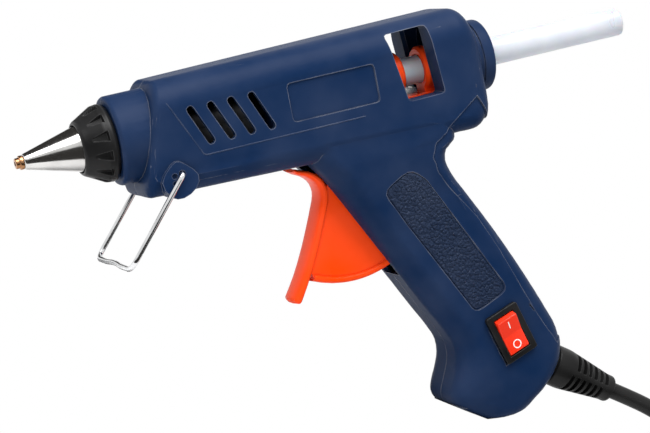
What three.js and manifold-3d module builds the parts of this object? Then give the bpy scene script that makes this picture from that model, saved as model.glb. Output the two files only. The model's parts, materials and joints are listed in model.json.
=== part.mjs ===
// Hot glue gun on its fold-out wire stand: a clamshell pistol housing, a heated chamber with a
// steel nozzle, a trigger that feeds the glue stick, a rocker switch and a mains cord.
// Millimetres. The gun is modelled along its barrel and then leaned back onto its stand.
import * as THREE from "three";
import { mergeVertices } from "three/addons/utils/BufferGeometryUtils.js";
import Module from "manifold-3d";

const wasm = await Module();
wasm.setup();

const DEGREE = Math.PI / 180;

// Clearances and cuts
const GAP = 0.3;
const HALF_GAP = 0.15;
const OVERRUN = 4;
const MERGE_DISTANCE = 0.0001;
const BEYOND = 400;

// Pose on the table
const REST_ANGLE = 35.5 * DEGREE;

// Barrel body, X rearward along the glue stick, Z up from the stick's axis
const BODY_FRONT = 47;
const BODY_REAR = 187;
const BODY_HALF_WIDTH = 19.5;
const BODY_TOP_FRONT = 19.7;
const BODY_TOP_REAR = 21.9;
const BODY_DEPTH_FRONT = 23;
const BODY_DEPTH_REAR = 27.9;
const BODY_RAKE = 15 * DEGREE;
const BODY_RAKE_LENGTH = 34;
const BODY_TOP_CORNER = 11.5;
const BODY_BOTTOM_CORNER = 8;
const BODY_NOSE_ROUND = 3;
const BODY_CHIN_ROUND = 6;
const BODY_TAIL_ROUND = 9;
const BODY_TAIL_TOP_DROP = 12;
const BODY_TAIL_BOTTOM_RISE = 6;
const BODY_TAIL_SIDE_DRAW = 6;
const WALL = 2.2;

// Flank facets: the lower flank and the handle's root fall away from two creases
const FLANK_CREASE_DEPTH = 11;
const FLANK_DRAFT = 4 * DEGREE;
const FLANK_FADE_START = 80;
const FLANK_FADE_END = 158;
const CREASE_X = 127.6;
const CREASE_Z = -36.1;
const CREASE_TILT = 32.3 * DEGREE;
const CREASE_LENGTH = 62;
const CREASE_FALL = 2.9;
const CREASE_RUN = 26;
const CREASE_REACH = 60;

// Snout that holds the nozzle collar
const SNOUT_FRONT = 35.9;
const SNOUT_RADIUS = 17.3;
const SNOUT_BORE = 13;
const SNOUT_GROOVE = 15;
const SNOUT_LIP = 6.8;
const SNOUT_LENGTH = 22;

// Handle, in its own frame: along it downwards, across it rearwards
const HANDLE_X = 115;
const HANDLE_Z = -28;
const HANDLE_SLOPE = 63 * DEGREE;
const HANDLE_LENGTH = 120;
const HANDLE_DEPTH = 50;
const HANDLE_FRONT_CORNER = 9;
const HANDLE_BACK_CORNER = 8;
const LAND_LENGTH = 16.1;
// front edge along and across, back edge along and across, half width
const handleShares = [
  [-0.108, -0.07, 0.141, 1.107, 0.97],
  [-0.019, -0.071, 0.218, 0.982, 0.985],
  [0.024, -0.052, 0.224, 0.889, 0.975],
  [0.074, -0.046, 0.251, 0.829, 0.96],
  [0.122, -0.042, 0.295, 0.807, 0.94],
  [0.213, -0.038, 0.383, 0.811, 0.895],
  [0.322, -0.034, 0.505, 0.819, 0.862],
  [0.474, -0.029, 0.653, 0.814, 0.85],
  [0.617, -0.025, 0.788, 0.796, 0.85],
  [0.707, -0.02, 0.885, 0.776, 0.85],
  [0.765, -0.033, 0.955, 0.754, 0.86],
  [0.805, -0.083, 0.994, 0.715, 0.875],
  [0.842, -0.176, 1.034, 0.639, 0.89],
  [0.871, -0.268, 1.061, 0.548, 0.895],
  [0.888, -0.31, 1.085, 0.413, 0.887],
  [0.9, -0.326, 1.097, 0.252, 0.867],
  [0.909, -0.333, 1.101, 0.079, 0.831],
  [0.916, -0.335, 1.078, -0.062, 0.779],
];
const landShares = [0.922, -0.333];
const LAND_HALF_WIDTH = 13.5;
const LAND_CORNER = 5;
const cavityRows = [0, 1, 3, 5, 7, 9, 11, 13, 14];

// Shallow panels in the flanks and the step along the handle's back
const PANEL_DEPTH = 0.6;
const PANEL_CORNER = 1.6;
const GRIP_CORNER = 4;
const LABEL_FRONT = 103;
const LABEL_LENGTH = 36.6;
const LABEL_TOP = 8.1;
const LABEL_HEIGHT = 15;
// along and across the handle
const gripShares = [
  [0.174, 0.215],
  [0.176, 0.5],
  [0.24, 0.565],
  [0.725, 0.57],
  [0.708, 0.235],
  [0.664, 0.234],
];
const backstrapShares = [
  [0.14, 1.3],
  [0.165, 0.8],
  [0.2, 0.715],
  [0.255, 0.676],
  [0.339, 0.683],
  [0.464, 0.722],
  [0.602, 0.707],
  [0.777, 0.661],
  [0.9, 0.632],
  [0.99, 0.632],
  [1.0, 1.3],
];

// Feed window, its corners from the lower rear one
const WINDOW_X = 167.3;
const WINDOW_Z = -9.3;
const WINDOW_LENGTH = 20.4;
const WINDOW_HEIGHT = 26.6;
const WINDOW_CORNER = 1.4;
const WINDOW_REVEAL = 7.2;
const windowShares = [
  [0, 0],
  [-0.11, 1.02],
  [-1, 1],
  [-0.77, -0.01],
];

// Cooling vents
const VENT_COUNT = 4;
const VENT_X = 66.5;
const VENT_Z = 0.4;
const VENT_PITCH = 8.25;
const VENT_LENGTH = 17;
const VENT_WIDTH = 3;
const VENT_CORE = 15;
const ventRoundShare = 0.488;
const VENT_TILT = -66 * DEGREE;

// Trigger slot in the underside and the handle's front
const SLOT_HALF_WIDTH = 7.1;
const SLOT_FRONT = 107;
const SLOT_TOP_DEPTH = 15;
const slotEndShare = 0.462;

// Nozzle
const TIP_FRONT = -1.3;
const TIP_RADIUS = 2.05;
const TIP_RIM_RADIUS = 2.7;
const TIP_RIM_LENGTH = 1.6;
const TIP_BORE = 0.9;
const tipChamferShare = 0.2;
const TIP_SHANK_LENGTH = 4;
const CONE_FRONT = 3;
const CONE_FRONT_RADIUS = 3.1;
const CONE_LENGTH = 21.2;
const CONE_RADIUS = 9;
const CONE_SKIRT = 7;
const CONE_BORE = 2.2;
const THREAD_RADIUS = 5.7;
const THREAD_LENGTH = 10.8;
const CONE_REAR = CONE_FRONT + CONE_LENGTH;
const NECK_REAR = CONE_REAR + CONE_SKIRT + THREAD_LENGTH;
const TIP_REAR = CONE_FRONT + TIP_SHANK_LENGTH;
const BALL_RADIUS = 1.6;
const CHECK_SPRING_RADIUS = 1.5;
const CHECK_SPRING_WIRE = 0.22;
const CHECK_SPRING_LENGTH = 10;
const CHECK_SPRING_CURLS = 5;

// Black collar round the nozzle
const COLLAR_FRONT = 23.2;
const COLLAR_FRONT_RADIUS = 10.6;
const COLLAR_RADIUS = 15;
const COLLAR_LENGTH = 12.3;
const COLLAR_LIP = 1.4;
const COLLAR_FLANGE = 14.6;
const COLLAR_FLANGE_LENGTH = 4;
const COLLAR_RECESSES = 12;
const COLLAR_RECESS_DEPTH = 1.5;
const recessFloorShare = 0.3;
const recessFrontShare = 0.35;

// Melt chamber
const CHAMBER_FRONT = 34.2;
const CHAMBER_BOSS_RADIUS = 8.2;
const CHAMBER_FLANGE_X = 50.2;
const CHAMBER_FLANGE_RADIUS = 11.5;
const CHAMBER_FLANGE_LENGTH = 2.6;
const CHAMBER_RADIUS = 8.8;
const CHAMBER_BORE = 5.9;
const CHAMBER_CHANNEL = 2.4;
const CHAMBER_CONE_X = 56;
const CHAMBER_CONE_LENGTH = 5;
const CHAMBER_SPIGOT_X = 98;
const CHAMBER_REAR = 106;
const CHAMBER_SPIGOT_RADIUS = 6.9;
const HEATER_X = 55.5;
const HEATER_LENGTH = 38;
const HEATER_HALF_WIDTH = 9;
const HEATER_BOTTOM = 17;
const HEATER_WALL = 2;
const PTC_THICKNESS = 2.4;
const PTC_HALF_WIDTH = 6.4;
const CLIP_X = 66;
const CLIP_LENGTH = 14;
const CLIP_THICKNESS = 0.8;
const CLIP_HEIGHT = 7;

// Silicone inlet sleeve and its clip
const SLEEVE_FRONT = 99.4;
const SLEEVE_SOCKET_LENGTH = 8;
const SLEEVE_RADIUS = 8.9;
const SLEEVE_TAIL_RADIUS = 7.5;
const SLEEVE_REAR = 120;
const SLEEVE_CLIP_X = 101;
const SLEEVE_CLIP_LENGTH = 4;
const SLEEVE_CLIP_THICKNESS = 1;
const SLEEVE_CLIP_EAR = 3;
const earGapShare = 1 / 6;

// Ribs across the housing
const RIB = 2;
const FRONT_RIB_X = 47.8;
const MIDDLE_RIB_X = 53.1;
const CHAMBER_RIB_X = 95.7;
const SLEEVE_RIB_X = 112.6;
const GUIDE_RIB_X = 138.6;
const REAR_RIB_X = 175.5;
const RIB_FOOT_DEPTH = 7.2;

// Feed slide
const SLIDE_FRONT = 121;
const SLIDE_REAR = 171.6;
const SLIDE_TOP = 9.5;
const SLIDE_THICKNESS = 4;
const SLIDE_HALF_WIDTH = 6;
const RING_BORE = 6.05;
const RING_RADIUS = 9;
const RING_THICKNESS = 4.4;
const ringRoundShare = 0.25;
const FRONT_RING_X = 152.6;
const REAR_RING_X = 165.8;
const RING_NECK_HALF_WIDTH = 4;
const CHEEK_DEPTH = 17.4;
const CHEEK_LENGTH = 10;
const ARM_SLOT_HALF_WIDTH = 2.4;
const LUG_X = 134;
const LUG_LENGTH = 2.2;
const LUG_DEPTH = 18.6;
const LUG_HALF_WIDTH = 2.6;
const RAIL_X = 139;
const RAIL_LENGTH = 33;
const RAIL_INNER = 3.4;
const RAIL_THICKNESS = 2;
const UPPER_RAIL_X = 126;
const UPPER_RAIL_LENGTH = 12;
const UPPER_RAIL_INNER = 4.6;

// Jaw that bites the stick
const JAW_X = 160.9;
const JAW_PIN_RADIUS = 1.1;
const JAW_HALF_WIDTH = 2.2;
const JAW_SLOT_HALF_WIDTH = 2.6;
const JAW_HUB = 2.1;
const JAW_TIP_REACH = 4.6;
const jawFrontShare = 0.75;
const toothShare = 0.8;
const JAW_CLEARANCE = 0.55;
const JAW_TEETH = 3;
const JAW_TOOTH = 0.5;
const JAW_SLOT_LENGTH = 9.5;

// Glue stick
const STICK_RADIUS = 5.6;
const stickEdgeShare = 1 / 12;
const STICK_FRONT = 72;
const STICK_REAR = 258;

// Rear guide ring
const GUIDE_NECK_RADIUS = 11.6;
const GUIDE_COLLAR_RADIUS = 13.6;
const GUIDE_COLLAR_LENGTH = 2;
const GUIDE_FLANGE_RADIUS = 14.4;
const GUIDE_FLANGE_X = 189.2;
const GUIDE_FLANGE_LENGTH = 5;
const GUIDE_BORE = 6.4;
const GUIDE_MOUTH = 9;
const GUIDE_ROUND = 1.2;

// Trigger, round its pivot
const PIVOT_X = 121.5;
const PIVOT_Z = -33.5;
const TRIGGER_SWING = 24 * DEGREE;
const TRIGGER_HALF_WIDTH = 6.5;
const TRIGGER_SIDE = 5.5;
const TRIGGER_SHEET = 1.5;
const TRIGGER_HUB = 4.6;
const fanShares = [0.45, 0.6, 0.75, 0.85];
const pocketFrontShare = 0.8;
const pocketRearShare = 1.6;
const pocketRootShares = [2.4, 0.5, 1.4];
const RIM_RADIUS = 42;
const RIM_BEAD = 3;
const RIM_STEPS = 8;
const RIM_FRONT_ANGLE = 26 * DEGREE;
const RIM_REAR_ANGLE = 24 * DEGREE;
const LEVER_THICKNESS = 3.3;
const LEVER_LENGTH = 50;
const ARM_LENGTH = 20.5;
const ARM_ANGLE = 12 * DEGREE;
const ARM_HALF_WIDTH = 2;
const ARM_WIDTH = 7;
const ARM_END_WIDTH = 5.4;
const PIVOT_PIN_RADIUS = 1.7;
const PIVOT_PIN_REACH = 12;
const PIVOT_BOSS_RADIUS = 4.6;
const DRIVE_PIN_RADIUS = 1.4;
// lever's front face from its horn down to its tip, forward and down of the pivot
const leverShares = [
  [0.36, -0.118],
  [0.315, -0.085],
  [0.25, -0.052],
  [0.192, 0.004],
  [0.17, 0.066],
  [0.173, 0.125],
  [0.204, 0.206],
  [0.28, 0.374],
  [0.362, 0.54],
  [0.456, 0.704],
  [0.55, 0.84],
];
const leverThicknessShares = [0.45, 0.62, 0.8, 0.95, 1, 1, 1, 1, 1, 1.05, 1.15];

// Return spring between the slide's lug and a post of the housing
const RETURN_SPRING_RADIUS = 2.1;
const RETURN_SPRING_WIRE = 0.35;
const RETURN_SPRING_DEPTH = 16.4;
const RETURN_SPRING_CURLS = 8;
const SPRING_POST_X = 164;
const SPRING_POST_THICKNESS = 2.4;

// Wire stand
const STAND_X = 55.2;
const STAND_Z = -15.6;
const STAND_LEAN = 6.5 * DEGREE;
const STAND_HALF_WIDTH = 22.4;
const STAND_SOCKET = 7;
const WIRE_RADIUS = 1.05;
const STAND_PIN_REACH = 15.5;
const barShares = [1 / 2.6, 1 / 7];
const WIRE_BEND = 1.35;
const WIRE_CORNER = 3.2;
const WIRE_KINK = 1.6;
const WIRE_SIDES = 8;
const WIRE_BEND_STEPS = 3;
const PAD_FACE = 21;
const PAD_CORNER = 3.4;
const PAD_BOSS_RADIUS = 3.4;
const PAD_LENGTH = 16;
const KEYHOLE_WIDTH = 2.3;
const KEYHOLE_DEPTH = 1.1;
// pad outline round the stand's hinge, forward and down
const padShares = [
  [0.02, -0.34],
  [-0.44, 0.1],
  [-0.3, 0.42],
  [0.08, 0.6],
  [0.38, 0.52],
  [0.58, 0.1],
  [0.2, -0.28],
];
const keyholeShares = [
  [0.19, 0.02],
  [0.2, 0.2],
];

// Housing screws, at x and z
const SCREW_RADIUS = 1.4;
const SCREW_HEAD_RADIUS = 2.7;
const SCREW_HEAD_LENGTH = 1.8;
const SCREW_LENGTH = 16;
const SCREW_HEAD_DEPTH = 7;
const SCREW_HEAD_SEAT = BODY_HALF_WIDTH - SCREW_HEAD_DEPTH;
const POST_RADIUS = 4.3;
const POST_SIDES = 6;
const SCREW_SIDES = 8;
const TOP_SCREW_DROP = 5.6;
const FRONT_SCREW_X = 62;
const MIDDLE_SCREW_X = 130;
const UNDER_SCREW_X = 101.2;
const UNDER_SCREW_RISE = 6.8;
const REAR_SCREW_X = 180.6;
const REAR_SCREW_DEPTH = 19.4;
// along and across the handle
const gripScrewShares = [0.49, 0.6];
const buttScrewShares = [0.875, 0.0];

// Rocker switch
const switchShares = [0.841, 0.358];
const SWITCH_TILT = 73.2 * DEGREE;
const SWITCH_SEAT = 16.9;
const BEZEL_LENGTH = 21;
const BEZEL_WIDTH = 15;
const BEZEL_THICKNESS = 2;
const BEZEL_CORNER = 1;
const SWITCH_LENGTH = 18.8;
const SWITCH_WIDTH = 12.8;
const SWITCH_DEPTH = 13;
const ROCKER_RADIUS = 8;
const ROCKER_WIDTH = 9.2;
const ROCKER_HEIGHT = 3.2;
const ROCKER_VALLEY = 2.1;
const ROCKER_DEPTH = 2.5;
const ROCKER_SWING = 16 * DEGREE;
const ROCKER_POCKET_DEPTH = 4.4;
const TRUNNION_RADIUS = 1;
const TRUNNION_LENGTH = 0.9;
const TERMINAL_SPACING = 8;
const TERMINAL_WIDTH = 4.8;
const TERMINAL_THICKNESS = 0.8;
const TERMINAL_LENGTH = 7;

// Strain relief on the handle's butt
const RELIEF_X = 199.5;
const RELIEF_Z = -131.1;
const RELIEF_ANGLE = 36 * DEGREE;
const RELIEF_LENGTH = 30.3;
const RELIEF_RADIUS = 8.5;
const RELIEF_END_RADIUS = 5.6;
const RELIEF_PLAIN = 7;
const RELIEF_RIBS = 6;
const RELIEF_GROOVE = 1.9;
const slotShare = 0.4;
const RELIEF_NECK = 7;
const RELIEF_NECK_LENGTH = 8;
const RELIEF_FLANGE = 8.8;
const RELIEF_FLANGE_LENGTH = 2.2;
const CORD_RADIUS = 3.4;
const INNER_CORD_LENGTH = 9;

// Cord clamp inside the butt
const CLAMP_BACK = 16;
const CLAMP_WIDTH = 6;
const CLAMP_THICKNESS = 2.6;
const CLAMP_SPAN = 6.6;
const CLAMP_FOOT_RADIUS = 2.6;
const CLAMP_SCREW_RADIUS = 1.1;
const CLAMP_SCREW_LENGTH = 15;
const CLAMP_HEAD_RADIUS = 2.2;
const CLAMP_HEAD_LENGTH = 1.4;

// Mains cord: out to a hank with four layers of loops, then on to a flat plug
const CORD_SIDES = 10;
const CORD_STEP = 15;
const CORD_LIFT = 0.8;
const HANK_RUN = 120;
const HANK_FOLD = 21;
const HANK_WAIST = 3.75;
const HANK_PITCH = 7.35;
const HANK_LAYERS = 4;
const HANK_RUN_STEPS = 8;
const HANK_FOLD_STEPS = 6;
const HANK_SIDES = 6;
const drawnShare = 0.45;
const TIE_THICKNESS = 0.5;
const TIE_WIDTH = 9;
const TIE_ROOM = 0.75;
const TIE_CORNER = 3.7;
const TIE_CORNER_STEPS = 4;
const PLUG_SIDE = -6.6;
const PLUG_HEIGHT = 7;
const PLUG_WIDTH = 35.3;
const PLUG_THICKNESS = 13.7;
const PLUG_LENGTH = 24;
const PLUG_NECK_LENGTH = 13;
const PLUG_NECK_WIDTH = 12;
const PLUG_CHAMFER = 3;
const PLUG_CORNER = 5;
const PLUG_TAIL_RADIUS = 5;
const PLUG_TAIL_LENGTH = 12;
const PLUG_TAIL_GROOVES = 4;
const plugRibShare = 0.6;
const PIN_RADIUS = 2;
const PIN_LENGTH = 19;
const PIN_ROOT = 5;
const PIN_SPACING = 18.6;
// Distance from the strain relief, the share of the way over to the hank's first run,
// and the share of the drop that is left.
const cordRoute = [
  [0, 0, 1],
  [9, 0, 1],
  [18, 0, 0.95],
  [25, 0.041, 0.8],
  [32, 0.163, 0.58],
  [39, 0.367, 0.36],
  [46, 0.633, 0.19],
  [53, 0.837, 0.07],
  [60, 0.959, 0.01],
  [67, 1, 0],
  [74, 1, 0],
];
// Distance from the hank's last run, and the shares of the way over and up to the plug.
const tailRoute = [
  [0, 0, 0],
  [3, 0, 0],
  [14, 0.131, 0],
  [24.5, 0.5, 0],
  [32, 0.788, 0.125],
  [38, 0.931, 0.5],
  [44, 0.996, 0.875],
  [50, 1, 1],
  [57, 1, 1],
];

// Inner leads
const LEAD_RADIUS = 0.9;
const LEAD_SIDES = 6;
const LEAD_STEP = 6;
const LEAD_INSET = 7.3;
const LEAD_OFFSET = BODY_HALF_WIDTH - LEAD_INSET;
const LEAD_TENSION = 0.4;
// along and across the handle, and the share of the leads' offset from the middle
const leadShares = [
  [0.6, 0.36, 0.9],
  [0.4, 0.42, 1],
  [0.2, 0.42, 1],
  [0.02, 0.36, 1],
  [-0.07, 0.14, 1],
];
const returnShares = [
  [0.83, 0.08, 0.5],
  [0.72, 0.1, 0.9],
];
const heaterShare = 0.8;
const ptcShare = 0.6;

// Facets: sides of turned pieces, and steps of rounded corners and arcs
const FEW_SIDES = 8;
const HEAD_SIDES = 10;
const PIN_SIDES = 12;
const TIP_SIDES = 14;
const BORE_SIDES = 16;
const DRUM_SIDES = 20;
const CONE_SIDES = 22;
const RING_SIDES = 24;
const GUIDE_SIDES = 28;
const SNOUT_SIDES = 32;
const SPRING_STEPS = 8;
const SPRING_SIDES = 5;
const CORNER_STEPS = 3;
const CAVITY_CORNER_STEPS = 2;
const PANEL_STEPS = 3;
const END_STEPS = 4;
// angles round the body's nose and tail, in degrees, and their coarser rows in the cavity
const NOSE_ANGLES = [90, 60, 30, 0];
const CAVITY_NOSE_ANGLES = [90, 45, 0];
const TAIL_ANGLES = [0, 22, 42, 60, 75, 90];
const CAVITY_TAIL_ANGLES = [0, 45, 90];
const rakeShares = [0.25, 0.5, 1];
const creaseShares = [-0.5, 0.2, 0.6, 1.2];
const legShare = 0.49;

// Materials
const BLUE = { color: 0x1d3a6b, roughness: 0.45, metalness: 0 };
const ORANGE = { color: 0xf55308, roughness: 0.4, metalness: 0 };
const BLACK = { color: 0x161617, roughness: 0.5, metalness: 0 };
const RED = { color: 0xe0301e, roughness: 0.35, metalness: 0 };
const CLEAR_WHITE = { color: 0xdfe5ee, roughness: 0.35, metalness: 0 };
const CHROME = { color: 0xc9c9c9, roughness: 0.15, metalness: 1 };
const BRASS = { color: 0xc8964a, roughness: 0.3, metalness: 1 };
const STEEL = { color: 0xb4b4b2, roughness: 0.3, metalness: 1 };
const ALUMINIUM = { color: 0xb9bcc0, roughness: 0.45, metalness: 1 };
const SILICONE = { color: 0xb8b2a8, roughness: 0.7, metalness: 0 };
const CERAMIC = { color: 0x8a5a2c, roughness: 0.5, metalness: 0 };
const LEAD_BROWN = { color: 0x5a3220, roughness: 0.5, metalness: 0 };
const LEAD_BLUE = { color: 0x2b5fa8, roughness: 0.5, metalness: 0 };

// Solids

// A closed three.js geometry as a solid with its faces outwards.
function solid(geometry) {
  const flat = geometry.index ? geometry.toNonIndexed() : geometry;
  const bare = new THREE.BufferGeometry();
  bare.setAttribute("position", flat.getAttribute("position").clone());
  const merged = mergeVertices(bare, MERGE_DISTANCE);
  const index = merged.index.array;
  const corners = [];
  for (let i = 0; i < index.length; i += 3) {
    const [a, b, c] = [index[i], index[i + 1], index[i + 2]];
    if (a !== b && b !== c && c !== a) corners.push(a, b, c);
  }
  const positions = new Float32Array(merged.attributes.position.array);
  const made = manifold(positions, corners);
  return made.volume() < 0 ? manifold(positions, corners.reverse()) : made;
}

function manifold(vertProperties, corners) {
  const triVerts = new Uint32Array(corners);
  return new wasm.Manifold(new wasm.Mesh({ numProp: 3, vertProperties, triVerts }));
}

function union(...solids) {
  return solids.reduce((all, next) => all.add(next));
}

function cut(body, ...tools) {
  return tools.reduce((rest, tool) => rest.subtract(tool), body);
}

function geometryOf(made) {
  const mesh = made.getMesh();
  const geometry = new THREE.BufferGeometry();
  geometry.setAttribute("position", new THREE.BufferAttribute(mesh.vertProperties, 3));
  geometry.setIndex(new THREE.BufferAttribute(mesh.triVerts, 1));
  return geometry;
}

// One named mesh in a group.
function piece(group, name, made, look) {
  const geometry = geometryOf(made).toNonIndexed();
  geometry.computeVertexNormals();
  const mesh = new THREE.Mesh(geometry, new THREE.MeshStandardMaterial(look));
  mesh.name = name;
  group.add(mesh);
  return mesh;
}

// Primitive shapes

function box(x1, x2, y1, y2, z1, z2) {
  const geometry = new THREE.BoxGeometry(x2 - x1, y2 - y1, z2 - z1);
  geometry.translate((x1 + x2) / 2, (y1 + y2) / 2, (z1 + z2) / 2);
  return solid(geometry);
}

// A profile of [x, radius] turned round the X axis.
function turned(profile, sides) {
  const points = profile.map(([x, radius]) => new THREE.Vector2(radius, x));
  const geometry = new THREE.LatheGeometry(points, sides);
  geometry.rotateZ(-Math.PI / 2);
  return solid(geometry);
}

function rodX(x1, x2, radius, sides) {
  return turned([[x1, 0], [x1, radius], [x2, radius], [x2, 0]], sides);
}

function tubeX(x1, x2, radius, bore, sides) {
  return turned([[x1, bore], [x1, radius], [x2, radius], [x2, bore], [x1, bore]], sides);
}

function rodY(x, z, radius, y1, y2, sides) {
  const geometry = new THREE.CylinderGeometry(radius, radius, y2 - y1, sides);
  geometry.translate(x, (y1 + y2) / 2, z);
  return solid(geometry);
}

// An outline of [x, z] points, its corners rounded, pushed along Y.
function prism(points, y1, y2, corner = 0, cornerSteps = 2) {
  const shape = corner > 0 ? roundedShape(points, corner) : sharpShape(points);
  const depth = y2 - y1;
  const options = { depth, bevelEnabled: false, curveSegments: cornerSteps };
  const geometry = new THREE.ExtrudeGeometry(shape, options);
  geometry.rotateX(Math.PI / 2);
  geometry.translate(0, y2, 0);
  return solid(geometry);
}

function sharpShape(points) {
  return new THREE.Shape(points.map(([x, z]) => new THREE.Vector2(x, z)));
}

function roundedShape(points, corner) {
  const shape = new THREE.Shape();
  points.forEach(([x, z], i) => {
    const here = new THREE.Vector2(x, z);
    const towards = (point) => {
      const way = new THREE.Vector2(...point).sub(here);
      return way.setLength(Math.min(corner, way.length() * legShare)).add(here);
    };
    const before = towards(points.at(i - 1));
    const after = towards(points[(i + 1) % points.length]);
    if (i === 0) shape.moveTo(before.x, before.y);
    else shape.lineTo(before.x, before.y);
    shape.quadraticCurveTo(here.x, here.y, after.x, after.y);
  });
  shape.closePath();
  return shape;
}

// An outline moved outwards by a distance, or inwards by a negative one.
function grown(points, distance) {
  const area = THREE.ShapeUtils.area(points.map(([x, z]) => new THREE.Vector2(x, z)));
  const side = area > 0 ? distance : -distance;
  return points.map((point, i) => {
    const here = new THREE.Vector2(...point);
    const into = here.clone().sub(new THREE.Vector2(...points.at(i - 1))).normalize();
    const out = new THREE.Vector2(...points[(i + 1) % points.length]).sub(here).normalize();
    const normal = new THREE.Vector2(into.y + out.y, -into.x - out.x).normalize();
    const reach = side / (normal.x * into.y - normal.y * into.x);
    return [here.x + normal.x * reach, here.y + normal.y * reach];
  });
}

// Rings of equally many points joined into a closed skin.
function loft(rings) {
  const count = rings[0].length;
  const positions = [];
  const triangle = (...points) => points.forEach((p) => positions.push(p.x, p.y, p.z));
  for (let i = 0; i + 1 < rings.length; i += 1) {
    for (let j = 0; j < count; j += 1) {
      const k = (j + 1) % count;
      triangle(rings[i][j], rings[i + 1][j], rings[i + 1][k]);
      triangle(rings[i][j], rings[i + 1][k], rings[i][k]);
    }
  }
  const last = rings.at(-1);
  for (let j = 1; j + 1 < count; j += 1) {
    triangle(rings[0][0], rings[0][j], rings[0][j + 1]);
    triangle(last[0], last[j + 1], last[j]);
  }
  const geometry = new THREE.BufferGeometry();
  geometry.setAttribute("position", new THREE.Float32BufferAttribute(positions, 3));
  return solid(geometry);
}

// A rounded rectangle between two points of the XZ plane, with its own corner radius at each end.
function section(from, to, halfWidth, fromCorner, toCorner, inset) {
  const steps = inset < WALL ? CORNER_STEPS : CAVITY_CORNER_STEPS;
  const along = to.clone().sub(from);
  const length = along.length();
  along.normalize();
  const width = halfWidth - inset;
  const limit = Math.min(width, length / 2 - inset);
  const [r1, r2] = [fromCorner, toCorner].map((r) => Math.min(Math.max(r - inset, inset), limit));
  const [start, end] = [inset + r1, length - inset - r2];
  const corners = [
    [start, r1 - width, r1, 2],
    [end, r2 - width, r2, 3],
    [end, width - r2, r2, 0],
    [start, width - r1, r1, 1],
  ];
  return corners.flatMap(([s, y, r, quarter]) =>
    arcAngles(quarter, steps).map((angle) => {
      const point = from.clone().addScaledVector(along, s + r * Math.cos(angle));
      return point.setY(y + r * Math.sin(angle));
    }),
  );
}

function arcAngles(quarter, steps) {
  return Array.from({ length: steps + 1 }, (_, i) => (quarter + i / steps) * (Math.PI / 2));
}

// A path that hands out its own points, so that each one gets a ring of the tube.
class PointPath extends THREE.Curve {
  constructor(points) {
    super();
    this.points = points;
  }

  getPointAt(share, target = new THREE.Vector3()) {
    return target.copy(this.points[Math.round(share * (this.points.length - 1))]);
  }

  getTangentAt(share, target = new THREE.Vector3()) {
    const i = Math.round(share * (this.points.length - 1));
    const before = this.points[Math.max(i - 1, 0)];
    const after = this.points[Math.min(i + 1, this.points.length - 1)];
    return target.subVectors(after, before).normalize();
  }

  getSpacedPoints() {
    return this.points.map((point) => point.clone());
  }
}

function tube(points, radius, sides) {
  const shape = new THREE.Shape(
    Array.from({ length: sides }, (_, i) => {
      const angle = ((i + 0.5) / sides) * 2 * Math.PI;
      return new THREE.Vector2(radius * Math.cos(angle), radius * Math.sin(angle));
    }),
  );
  const options = { steps: points.length - 1, extrudePath: new PointPath(points) };
  return solid(new THREE.ExtrudeGeometry(shape, options));
}

// Straight runs between points, with an arc of the given radius at each inner point.
function bentPath(points, radius, steps) {
  return points.flatMap((point, i) => {
    if (i === 0 || i === points.length - 1) return [point.clone()];
    const into = points[i - 1].clone().sub(point).normalize();
    const out = points[i + 1].clone().sub(point).normalize();
    const half = into.angleTo(out) / 2;
    const reach = radius / Math.tan(half);
    const centre = into.clone().add(out).setLength(radius / Math.sin(half)).add(point);
    const start = point.clone().addScaledVector(into, reach).sub(centre);
    const end = point.clone().addScaledVector(out, reach).sub(centre);
    const turn = Math.PI - 2 * half;
    const axis = start.clone().cross(end).normalize();
    return Array.from({ length: steps + 1 }, (_, k) =>
      start.clone().applyAxisAngle(axis, (turn * k) / steps).add(centre),
    );
  });
}

// A coil spring along X between two planes.
function helix(name, x1, x2, place, radius, wire, curls) {
  const steps = Math.round(curls * SPRING_STEPS);
  const points = Array.from({ length: steps + 1 }, (_, i) => {
    const angle = (i / SPRING_STEPS) * 2 * Math.PI;
    const x = mix(x1 + wire, x2 - wire, i / steps);
    return place.clone().add(new THREE.Vector3(x, radius * Math.cos(angle), radius * Math.sin(angle)));
  });
  reportGap(name, points, wire, SPRING_STEPS / 2);
  return tube(points, wire, SPRING_SIDES);
}

// Places

// A point of the handle, from its shares along and across.
function onHandle([along, across]) {
  const t = along * HANDLE_LENGTH;
  const n = across * HANDLE_DEPTH;
  return [
    HANDLE_X + t * Math.cos(HANDLE_SLOPE) + n * Math.sin(HANDLE_SLOPE),
    HANDLE_Z - t * Math.sin(HANDLE_SLOPE) + n * Math.cos(HANDLE_SLOPE),
  ];
}

function flat([x, z]) {
  return new THREE.Vector3(x, 0, z);
}

function mix(a, b, share) {
  return a + (b - a) * share;
}

function bodyTop(x) {
  return mix(BODY_TOP_FRONT, BODY_TOP_REAR, (x - BODY_FRONT) / (BODY_REAR - BODY_FRONT));
}

function bodyBottom(x) {
  return -mix(BODY_DEPTH_FRONT, BODY_DEPTH_REAR, (x - BODY_FRONT) / (BODY_REAR - BODY_FRONT));
}

// Housing skin

// One ring of the barrel body: x on the stick's axis and how far each side is drawn in.
function bodyRing(x, topDrop, bottomRise, sideDraw, inset) {
  const lean = Math.tan(BODY_RAKE) * Math.max(0, 1 - (x - BODY_FRONT) / BODY_RAKE_LENGTH);
  const bottom = bodyBottom(x) + bottomRise;
  const top = bodyTop(x) - topDrop;
  const from = flat([x + lean * bottom, bottom]);
  const to = flat([x + lean * top, top]);
  const halfWidth = BODY_HALF_WIDTH - sideDraw;
  return section(from, to, halfWidth, BODY_BOTTOM_CORNER, BODY_TOP_CORNER, inset);
}

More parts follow.
